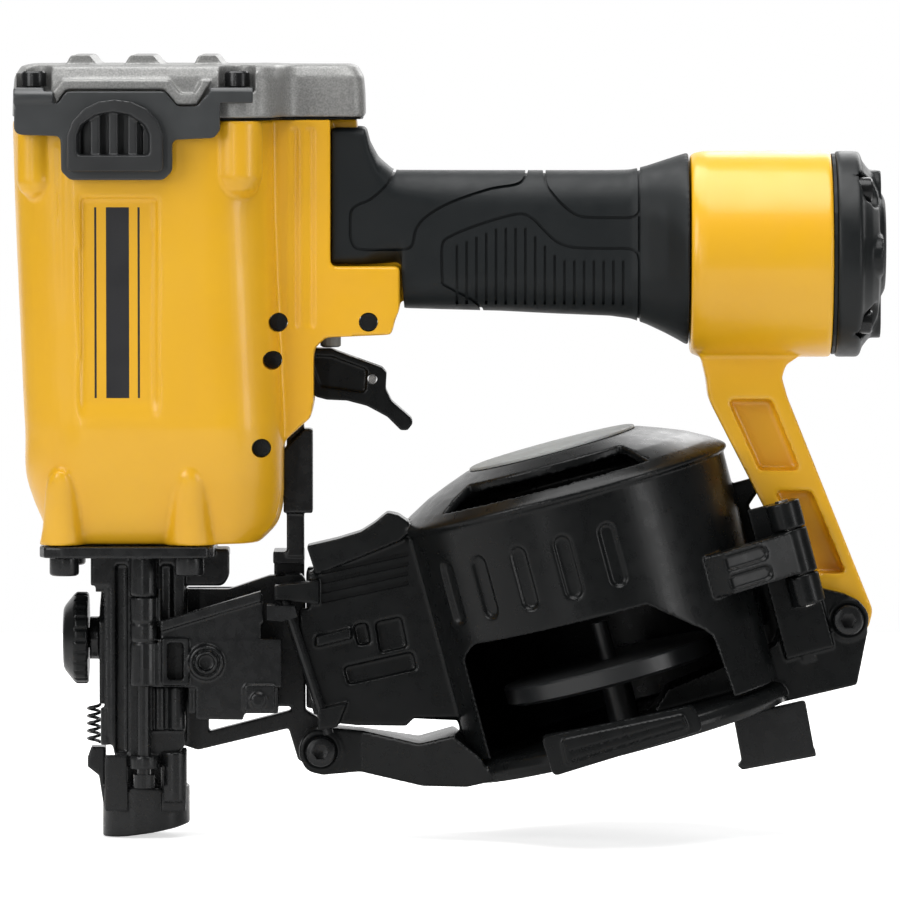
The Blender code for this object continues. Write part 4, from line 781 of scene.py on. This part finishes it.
def door():
    body = cad_copy("nose_door")
    x, y = DOOR_PIN.x, DOOR_PIN.y
    frame_lip = plate(rounded([(-92.0, 49.9), (-83.4, 49.9), (-83.4, 65.0), (-92.0, 65.0)], 1.0),
                      -21.6, -19.0)
    tab = plate(rounded([(-65.6, 41.4), (-56.0, 41.4), (-56.0, 50.0), (-65.6, 50.0)], 1.0), -21.4, -18.0)
    x_hinge, x_free = -92.4, -60.4
    web = plate([(x_hinge, 63.0), (x_free, 63.0), (x_free, 77.4), (x_hinge, 68.0)], -20.4, -17.0)
    rib = plate([(x_hinge, 67.2), (x_free, 76.8), (x_free, 80.0), (x_hinge, 70.4)], -22.8, -17.0)
    above = [(x_hinge, 84.0), (x_hinge, 69.0), (x_free, 78.6), (x_free + 9.0, 78.6), (x_free + 9.0, 84.0)]
    cut(body, plate(above, -30.0, -12.0))
    screw_x, screw_z = -77.8, 57.2
    boss = [(0, 23.2), (4.6, 23.2), (5.6, 22.4), (5.8, 19.0), (0, 19.0)]
    moat = [(3.6, 24.0), (4.5, 24.0), (4.5, 22.3), (3.6, 22.3)]
    join(body, frame_lip, tab, web, rib, turned(boss, (screw_x, 0, screw_z), (0, -1, 0)))
    window = plate(rounded([(-90.3, 51.6), (-85.1, 51.6), (-85.1, 63.4), (-90.3, 63.4)], 0.8), -30.0, -10.0)
    grooves = [rod((x, y, z), (x, y, z + 0.9), 5.4) for z in (63.2, 69.2)]
    keeps = [rod((x, y, z - 1), (x, y, z + 2), 4.1) for z in (63.2, 69.2)]
    for groove, keep in zip(grooves, keeps):
        cut(groove, keep)
    cut(body, window, *grooves, cross_rod(screw_x, screw_z, -30, -20.2, 2.7),
        turned(moat, (screw_x, 0, screw_z), (0, -1, 0)))
    soften(body, *FINE_SKIN)
    show(body, "black_steel", "door_casting", "nose_door")


def knob():
    profile = [(0, 124.1), (9.4, 124.1), (10.6, 123.5), (14.2, 120.6), (14.75, 119.8), (14.75, 116.7),
               (14.3, 116.1), (0, 116.1)]
    body = turned(profile, (0, 0, KNOB.z), (-1, 0, 0), 120)
    tools = []
    flutes = 24
    for number in range(flutes):
        a = 2.0 * math.pi * number / flutes
        y, z = 15.2 * math.cos(a), KNOB.z + 15.2 * math.sin(a)
        tools.append(rod((-112, y, z), (-122.6, y, z), 0.95, 16))
    tools.append(turned([(0, 130), (7.0, 130), (7.0, 123.2), (6.2, 123.2), (0, 123.2)], (0, 0, KNOB.z),
                        (-1, 0, 0)))
    cut(body, *tools)
    soften(body, 0.3, 3, 0.35)
    cut(body, rod((-110, 0, KNOB.z), (-120.2, 0, KNOB.z), 3.3))
    show(body, "black_plastic", "depth_wheel", "depth_knob")


def foot():
    plan = ring_points(13.95, 12.4, 11.0, -97.65)
    rings = [[(x, y, z) for x, y in plan] for z in (-2.0, 8.0, 15.9)]
    rings.append([(x * 0.985 - 1.46, y * 0.96, 16.4) for x, y in plan])
    body = loft(rings)
    lug = [(-116.4, 25.5), (-115.2, 28.8), (-110.6, 28.8), (-110.6, 15.6), (-108.0, 14.0), (-108.0, 9.0),
           (-111.2, 9.0), (-112.8, 19.6), (-116.4, 22.4)]
    join(body, plate(lug, -4.6, 4.6), block((-92.4, -14.9, 9.0), (-84.6, -11.0, 15.0)),
         block((-107.0, 11.0, 9.0), (-85.0, 14.8, 15.0)), block((-107.0, 13.4, 12.0), (-85.0, 14.8, 27.0)),
         block((-110.5, -14.6, 9.0), (-103.2, -11.0, 15.0)),
         block((-110.5, -14.6, 12.0), (-103.2, -13.4, 27.0)),
         common(rod((-88.4, -12.6, 10.0), (-88.4, -12.6, 28.0), 4.3),
                block((-95, -20, 12), (-80, -13.4, 30))))
    sole = [(-120, -6), (-120, 0.0), (-110.5, 0.05), (-104, 0.5), (-96.0, 1.6), (-88.0, 3.2), (-80, 5.4),
            (-80, -6)]
    cut(body, plate(sole, -30, 30), rod((AXIS_X, 0, -5), (AXIS_X, 0, 25), 4.4))
    soften(body, *FINE_SKIN)
    show(body, "black_steel", "foot_casting", "contact_foot")


def trip():
    body = cad_copy("contact_arm")
    wide = [(-53.4, 104.0), (-44.0, 104.0), (-44.0, 131.0), (-46.8, 131.0), (-53.4, 124.4)]
    join(body, plate(rounded(wide, 0.6), -5.0, 5.0))
    soften(body, *FINE_SKIN)
    show(body, "black_steel", "trip_linkage", "contact_arm")


# ---------------------------------------------------------------- magazine

def canister_wall(thick, top, foot):
    """A plain ring of the canister's wall."""
    inner = MAG_WALL_R - thick
    return turned([(inner, top), (MAG_WALL_R, top), (MAG_WALL_R, foot), (inner, foot)], matrix=MAG,
                  steps=MAG_STEPS)


def canister_cover():
    dome = [(0, 13.7), (28.5, 13.7), (30.5, 13.0), (36.0, 11.0), (43.0, 8.2), (50.0, 4.4), (53.0, 2.3),
            (MAG_RIM_R - 0.2, 1.3), (MAG_RIM_R, 0.6), (MAG_RIM_R - 0.4, -0.2), (MAG_WALL_R, -0.8),
            (MAG_WALL_R, -3.0), (50.2, -3.0), (50.2, 0.4), (48.2, 2.2), (42.0, 5.6), (36.0, 8.2),
            (30.0, 10.4), (0, 10.8)]
    body = turned(dome, matrix=MAG, steps=MAG_STEPS)
    wall = canister_wall(MAG_WALL_T + 0.7, -2.0, -75.4)
    window = [(-44.2, -90), (-44.2, -41.8, 5), (-40.0, -38.2, 3), (16.3, -39.0, 2), (31.5, -51.8, 3),
              (34.0, -54.8, 4), (35.6, -75.0, 0), (36.0, -90)]
    cut(wall, block((-80, -0.9, -100), (80, 80, 20), MAG), block((-80, -13.6, -90), (-35, 2, -5), MAG),
        block((44, -15.0, -90), (60, 2, -58), MAG), plate(rounded(window, 0.0), -70, -10, matrix=MAG))
    join(body, wall)
    a, y = MAG_HINGE
    strap = plate([(36.6, -36.9), (40.4, -32.7), (52.0, -26.5), (a - 2.0, y + 2.2), (a + 1.7, y - 4.8),
                   (58.0, -33.4), (44.0, -40.6)], -43.6, -29.9, "XY", MAG)
    join(body, strap, rod((a, y, -44.0), (a, y, -29.5), HINGE_R, matrix=MAG))
    tools = [plate(sector_outline(36.6, 49.6, -141.0, -55.0), -1.0, 20.0, "XY", MAG)]
    for c in (-33.6, -40.0):
        pocket = plate(slot_outline((49.0, c), 17.0, 4.6), -60.0, -20.0, "XZ", MAG)
        face = [(36.6, -60.0), (44.0, -39.4), (58.0, -32.2), (a + 1.7, y - 3.6), (80.0, -60.0)]
        tools.append(common(pocket, plate(face, -60.0, -20.0, "XY", MAG)))
    for number in range(5):
        lean = math.radians(-143.3 + 16.05 * number)
        turn = MAG @ Matrix.Rotation(lean, 4, "Z")
        outline = slot_outline((0.0, -20.9), 21.0, 5.8, 90.0)
        inner = slot_outline((0.0, -20.9), 19.4, 4.2, 90.0)
        depths = ((1.0, outline), (-0.2, outline), (-1.3, inner))
        tools.append(loft([[(MAG_WALL_R + depth, p, q) for p, q in ring] for depth, ring in depths], turn))
    cut(body, *tools)
    throat = plate([(-45.0, 85.5), (-45.0, 62.0), (-38.6, 37.4), (-30.0, 36.5), (-14.0, 36.3),
                    (-11.5, 38.8), (4.0, 38.8), (-8.5, 86.0), (-10.5, 94.5), (-14.5, 97.0), (-24.0, 93.5)],
                   -14.8, -3.6)
    lap = plate([(-48.4, 74.0), (-48.4, 58.0), (-43.6, 40.0), (-40.0, 40.0), (-40.0, 74.0)], -14.8, -12.4)
    hood = plate(rounded([(-45.9, 94.1), (-36.0, 96.4), (-28.5, 98.7), (-24.0, 101.6), (-20.0, 104.9),
                          (-16.5, 104.2), (-13.4, 102.0), (-12.8, 99.3), (-15.4, 96.1), (-29.0, 90.5),
                          (-42.9, 84.9)], 0.8), -17.0, -3.8)
    ear = plate([(-56.0, 76.9), (-42.0, 75.8), (-42.0, 83.3), (-56.0, 81.6)], -20.6, -12.0)
    rod_foot = plate([(-42.5, 35.2), (-36.0, 36.4), (-33.0, 44.0), (-42.0, 42.0)], -20.6, -12.0)
    bar = plate(rounded([(-42.8, 61.9), (-31.5, 64.6), (-31.8, 67.9), (-42.6, 65.2)], 0.5), -18.6, -12.0)
    join(body, throat, lap, hood, ear, rod_foot, bar)
    tools = [rod((-37.9, -17.6, 31.2), (-53.6, -17.6, 79.2), 2.1),
             rod((a, y, -60), (a, y, -10), HINGE_BORE_R, matrix=MAG)]
    for pocket in ([(-22.4, 59.6), (-13.6, 61.6), (-15.6, 71.4), (-24.0, 69.6)],
                   [(-32.6, 49.4), (-10.6, 54.4), (-12.0, 60.2), (-34.2, 55.2)],
                   [(-29.6, 61.8), (-25.2, 62.8), (-26.6, 69.6), (-31.0, 68.6)]):
        tools.append(plate(rounded(pocket, 1.4), -20.0, -12.0))
    cut(body, *tools)
    soften(body, *MOULDED_SKIN)
    ribs = []
    for number in range(4):
        z = 86.8 - 3.1 * number
        rib = [(-41.0, z - 2.0), (-13.0, z + 4.0), (-13.3, z + 5.4), (-41.3, z - 0.6)]
        ribs.append(plate(rounded(rib, 0.5), -20.0, -13.7))
    cut(body, *ribs)
    show(body, "black_plastic", "canister_cover", "magazine_cover")


def canister_base():
    floor = [(0, -76.0), (51.0, -76.0), (53.2, -77.2), (54.2, -79.5), (54.2, -81.0), (52.8, -83.0),
             (0, -83.0)]
    body = turned(floor, matrix=MAG, steps=MAG_STEPS)
    wall = canister_wall(MAG_WALL_T, -4.6, -79.0)
    cut(wall, block((-80, -80, -100), (80, 0.9, 20), MAG), block((-80, -2, -74.6), (-35, 7.5, 20), MAG))
    throat = plate([(-46.3, 84.0), (-46.3, 40.7), (-30.0, 38.0), (3.0, 36.5), (-10.0, 86.0), (-45.8, 86.0)],
                   3.6, 9.0)
    front = plate(rounded([(-48.8, 28.0, 6), (-46.2, 21.6, 5), (-40.8, 20.3, 3), (-28.9, 21.4),
                           (-8.7, 17.5), (5.3, 17.6), (14.0, 19.8), (10.0, 27.0), (1.1, 33.9),
                           (-10.0, 31.1), (-28.1, 34.6), (-39.0, 35.6, 3), (-45.4, 34.6, 5)], 0.6),
                  -34.0, 30.0)
    plan = plate([(-60, -12), (-28, -12.4), (-8.7, -21.0), (14, -29.0), (14, 22), (-8.7, 14), (-28, 3.2),
                  (-60, 3.2)], 0.0, 60.0, "XY")
    common(front, plan)
    rear = [(60.0, 33.5), (90.2, 40.0), (130.3, 49.4, 1), (133.6, 66.0, 3), (133.4, 72.6, 4),
            (131.0, 76.3, 3), (126.1, 78.7, 3), (117.2, 80.8, 1), (110.2, 78.0), (104.0, 62.0), (70.0, 48.0)]
    join(body, wall, throat, front, plate(rounded(rear, 0.0), -FORK_HALF, FORK_HALF))
    a, y = MAG_HINGE
    parts = [block((55.0, y + 6.4, -70.0), (a + 4.4, y + 9.8, -20.6), MAG),
             block((60.0, y + 9.0, -72.0), (64.0, 3.0, -24.0), MAG),
             block((50.0, 1.2, -78.0), (64.0, 4.0, -12.0), MAG)]
    for low, high in ((-29.2, -20.4), (-54.0, -44.3)):
        parts.append(rod((a, y, low), (a, y, high), HINGE_R, matrix=MAG))
        parts.append(block((a - 4.0, y, low + 0.3), (a + 4.0, y + 8.0, high - 0.3), MAG))
    for spot, face, radius in ((FRONT_BOLT, -12.9, 7.0), (REAR_BOLT, -14.2, 6.6)):
        ring = turned([(radius - 0.6, -face), (radius, -face - 0.5), (radius, 5.0), (5.3, 5.0), (5.3, -face)],
                      (spot.x, 0, spot.z), (0, -1, 0))
        parts.append(ring)
    gap = plate([(100, 112), (96, 106), (118, 72), (122, 58), (150, 58), (150, 112)], -8.9, 8.9)
    join(body, *parts)
    cut(body, gap)
    soften(body, *MOULDED_SKIN)
    cut(body, rod((a, y, -60), (a, y, -10), HINGE_BORE_R, matrix=MAG),
        rod((0, 0, -90), (0, 0, -70), 5.3, matrix=MAG),
        cross_rod(FRONT_BOLT.x, FRONT_BOLT.z, -30, 14, BOLT_BORE_R),
        cross_rod(REAR_BOLT.x, REAR_BOLT.z, -30, 30, BOLT_BORE_R))
    show(body, "black_plastic", "canister_base", "magazine_base")


def platform():
    profile = [(0, -56.0), (32.6, -56.0), (34.6, -56.4), (35.0, -57.0), (35.0, -61.6), (33.6, -62.6),
               (6.0, -62.6), (5.0, -63.4), (5.0, -84.2), (4.6, -84.5), (0, -84.5)]
    body = turned(profile, matrix=MAG, steps=128)
    join(body, rod((0, 0, -58), (0, 0, -44), 2.7, matrix=MAG))
    show(body, "grey_trim", "nail_table", "nail_platform", skin=DARK_TRIM, crease=30.0)
    disc = [(0, 14.9), (26.2, 14.9), (27.2, 14.6), (27.4, 14.2), (27.4, 13.9), (0, 13.9)]
    show(turned(disc, matrix=MAG, steps=128), "grey_trim", "lid_disc", "cover_disc", crease=30.0)


def pads():
    outline = [(28.7, 36.2), (32.6, 23.8), (80.0, 38.4), (77.0, 46.4)]
    for side, name, label in ((-1, "skid_pad_left", "pad_left"), (1, "skid_pad_right", "pad_right")):
        body = flank(rounded(outline, 2.0), side, 30.0, 57.6)
        join(body, flank(rounded([(35.0, 35.4), (37.0, 27.4), (75.4, 39.0), (73.4, 43.6)], 1.5),
                         side, 50.0, 58.4))
        cut(body, flank([(38.0, 31.4), (73.0, 41.4), (72.9, 42.0), (37.8, 32.2)], side, 57.7, 60.0),
            flank([(38.8, 28.6), (73.8, 39.2), (73.6, 39.9), (38.6, 29.4)], side, 57.7, 60.0),
            turned([(0, -70.0), (54.7, -70.0), (54.7, -90.0), (0, -90.0)], matrix=MAG, steps=128),
            turned([(0, -10.0), (53.5, -10.0), (53.5, -72.0), (0, -72.0)], matrix=MAG, steps=128))
        soften(body, 0.4, 3, 0.4)
        show(body, "black_plastic", label, name)


def guide():
    outline = [(90.6, 39.6), (93.2, 25.6, 1), (92.2, 23.8), (94.6, 22.6, 1), (116.9, 27.0, 1),
               (113.6, 44.8, 1)]
    body = plate(rounded(outline, 0.5), -17.0, -14.0)
    join(body, plate([(92.0, 23.6), (93.6, 22.4), (117.2, 26.8), (116.8, 29.2)], -16.8, -3.0),
         plate([(93.4, 27.8), (115.6, 32.4), (115.3, 33.6), (93.2, 29.0)], -17.0, -13.6))
    soften(body, *FINE_SKIN)
    show(body, "black_steel", "shingle_stop", "shingle_guide")


# ---------------------------------------------------------------- fasteners and carried nodes

def socket_screw(node_name, slot, start, direction, profile, wide, deep, label):
    """A turned screw with a hexagon socket in its head. Heights run out of the head."""
    body = turned(profile, start, direction, 56)
    top = max(height for _, height in profile)
    hexagon = turned([(0, top + 2), (wide, top + 2), (wide, top - deep), (0, top - deep - 0.6)], start,
                     direction, 6)
    cut(body, hexagon)
    show(body, slot, label, node_name, crease=30.0)


def screws():
    for number in range(1, 5):
        spot = CAP_BOLTS[number - 1]
        low, high = box_mm(f"cap_bolt_{number}")
        lift = 0.8 if spot.y < 0 else 0.0
        socket_screw(f"cap_bolt_{number}", "black_steel", (spot.x, spot.y, 0), (0, 0, 1),
                     [(0, high.z), (3.4, high.z), (3.9, high.z - 0.5), (4.0, high.z - 1.0),
                      (4.0, 240.5 + lift), (3.8, 240.3 + lift), (2.2, 240.3 + lift), (2.2, low.z),
                      (0, low.z)], 2.0, 3.0, f"cap_screw_{number}")
        spot = centre_mm(f"nose_bolt_{number}")
        low, high = box_mm(f"nose_bolt_{number}")
        socket_screw(f"nose_bolt_{number}", "black_steel", (spot.x, spot.y, 0), (0, 0, -1),
                     [(0, -low.z), (3.9, -low.z), (4.5, -low.z - 0.4), (4.7, -low.z - 1.0), (4.7, -90.9),
                      (2.3, -90.9), (2.3, -high.z), (0, -high.z)], 2.4, 3.0, f"nose_screw_{number}")
        spot = centre_mm(f"end_cap_screw_{number}")
        low, high = box_mm(f"end_cap_screw_{number}")
        socket_screw(f"end_cap_screw_{number}", "black_steel", (0, spot.y, spot.z), (1, 0, 0),
                     [(0, high.x), (3.4, high.x), (4.0, high.x - 0.5), (4.1, high.x - 1.1), (4.1, low.x),
                      (0, low.x)], 2.0, 2.6, f"tail_screw_{number}")
    for node_name, spot in (("magazine_bolt_front", FRONT_BOLT), ("magazine_bolt_rear", REAR_BOLT)):
        low, high = box_mm(node_name)
        head = -low.y
        socket_screw(node_name, "black_steel", (spot.x, 0, spot.z), (0, -1, 0),
                     [(0, head), (3.7, head), (4.4, head - 0.3), (4.8, head - 0.9), (4.8, head - 3.9),
                      (3.0, head - 3.9), (3.0, -high.y), (0, -high.y)], 2.6, 3.4, node_name + "_screw")


def long_pin():
    """The guide pin reaches the barrel's skin, so that its ends fill their holes."""
    spot = centre_mm("guide_pin")
    pin = cross_rod(spot.x, spot.z, -31.0, 31.0, 2.7)
    show(pin, "black_steel", "guide_roll_pin", "guide_pin")


CARRIED = {
    "cast_aluminium": ("cylinder_sleeve", "piston", "head_valve"),
    "grip_rubber": ("piston_bumper", "end_cap_gasket"),
    "black_plastic": ("cap_gasket",),
    "black_steel": ("trigger_pin", "valve_pin_front", "valve_pin_rear", "feed_cylinder", "feed_cylinder_cap",
                    "door_latch", "latch_rod", "door_hinge_pin", "contact_spring"),
    "bright_steel": ("driver_blade", "head_valve_spring", "trigger_lever", "trigger_lever_pin", "feed_piston",
                     "feed_pawl", "magazine_hinge_pin"),
    "grey_trim": ("trigger_valve_body", "trigger_valve_stem"),
}


def carried_nodes():
    """CAD nodes whose shape is right keep it, with rounded edges and a worked finish."""
    for slot, names in CARRIED.items():
        for name in names:
            obj = frame["nodes"][name]
            for holder in obj.material_slots:
                holder.material = FINISH[slot]
            if name.endswith("spring"):
                continue
            edge = obj.modifiers.new("edge", "BEVEL")
            edge.width = mm(0.25)
            edge.segments = 2
            edge.limit_method = "ANGLE"
            edge.angle_limit = math.radians(40.0)


# ---------------------------------------------------------------- studio

VIEW_WIDTH = 289.0       # how much of the object plane the frame takes in
VIEW_CENTRE_Z = 124.0
VIEW_ELEVATION = 3.0
CAMERA_DISTANCE = 3.0    # metres
FLOOR_GREY = 0.80
FLOOR_GLOW = 0.62        # only the camera sees it
ROOM_GLOW = 0.14         # what the tool gets from the white world
AIM = (0.0, 0.0, 0.12)   # metres
LIGHTS = (               # name, place and size in metres, power in watts
    ("top_softbox", (-0.05, -0.05, 1.05), (1.3, 0.7), 14.3),
    ("key_softbox", (-1.0, -0.95, 0.65), (0.6, 0.9), 9.7),
    ("side_strip", (1.05, -0.75, 0.30), (0.25, 0.8), 3.5),
    ("front_strip", (-0.55, -1.7, 0.35), (0.06, 0.9), 2.6),
    ("low_fill", (0.15, -1.5, -0.40), (1.6, 0.4), 2.4),
    ("backdrop", (0.0, 1.3, 0.45), (2.6, 1.1), 9.0),
    ("rear_softbox", (0.5, 1.1, 0.8), (0.9, 0.7), 6.0),
)


def area_light(name, place, size, power):
    """A rectangular light turned to the tool, which the camera doesn't see."""
    data = bpy.data.lights.new(name, "AREA")
    data.shape = "RECTANGLE"
    data.size, data.size_y = size
    data.energy = power
    obj = bpy.data.objects.new(name, data)
    obj.location = place
    obj.rotation_euler = (Vector(AIM) - Vector(place)).to_track_quat("-Z", "Y").to_euler()
    obj.visible_camera = False
    bpy.context.scene.collection.objects.link(obj)


def glow_for_camera(tree, rest, shown):
    """A strength that is one value for the camera's own rays and another for all the rest."""
    seen = node(tree, "ShaderNodeLightPath").outputs["Is Camera Ray"]
    strength = node(tree, "ShaderNodeMapRange", To_Min=rest, To_Max=shown)
    tree.links.new(seen, strength.inputs["Value"])
    return strength.outputs["Result"]


def studio():
    """A white room: a floor that fades out in white, a weak world and soft lights."""
    scene = bpy.context.scene
    scene.view_settings.view_transform = "Standard"
    world = bpy.data.worlds.new("studio_world")
    scene.world = world
    world.use_nodes = True
    tree = world.node_tree
    background = tree.nodes["Background"]
    background.inputs["Color"].default_value = (1.0, 1.0, 1.0, 1.0)
    tree.links.new(glow_for_camera(tree, ROOM_GLOW, 1.0), background.inputs["Strength"])

    sheet = rounded([(-1100, -340), (1100, -340), (1100, 900), (-1100, 900)], 300.0, 24)
    floor = plate(sheet, -1.0, -0.05, "XY")
    floor.name = "studio_floor"
    floor.data.name = "studio_floor"
    paper = bpy.data.materials.new("studio_paper")
    paper.use_nodes = True
    tree = paper.node_tree
    shader = tree.nodes["Principled BSDF"]
    shader.inputs["Base Color"].default_value = (FLOOR_GREY, FLOOR_GREY, FLOOR_GREY, 1.0)
    shader.inputs["Roughness"].default_value = 0.9
    shader.inputs["Emission Color"].default_value = (1.0, 1.0, 1.0, 1.0)
    tree.links.new(glow_for_camera(tree, 0.0, FLOOR_GLOW), shader.inputs["Emission Strength"])
    floor.data.materials.append(paper)

    for light in LIGHTS:
        area_light(*light)


def camera_view():
    """A long lens in front of the tool, a little above its middle."""
    scene = bpy.context.scene
    data = bpy.data.cameras.new("camera")
    data.sensor_width = 36.0
    data.lens = data.sensor_width * CAMERA_DISTANCE / mm(VIEW_WIDTH)
    data.clip_end = 50.0
    camera = bpy.data.objects.new("camera", data)
    tilt = math.radians(VIEW_ELEVATION)
    camera.location = (0.0, -CAMERA_DISTANCE * math.cos(tilt), mm(VIEW_CENTRE_Z)
                       + CAMERA_DISTANCE * math.sin(tilt))
    camera.rotation_euler = (math.pi / 2.0 - tilt, 0.0, 0.0)
    scene.collection.objects.link(camera)
    scene.camera = camera


housing()
cap()
shield()
grip()
tail_cap()
trigger()
nose()
door()
knob()
foot()
trip()
canister_cover()
canister_base()
platform()
pads()
guide()
screws()
long_pin()
carried_nodes()
studio()
camera_view()
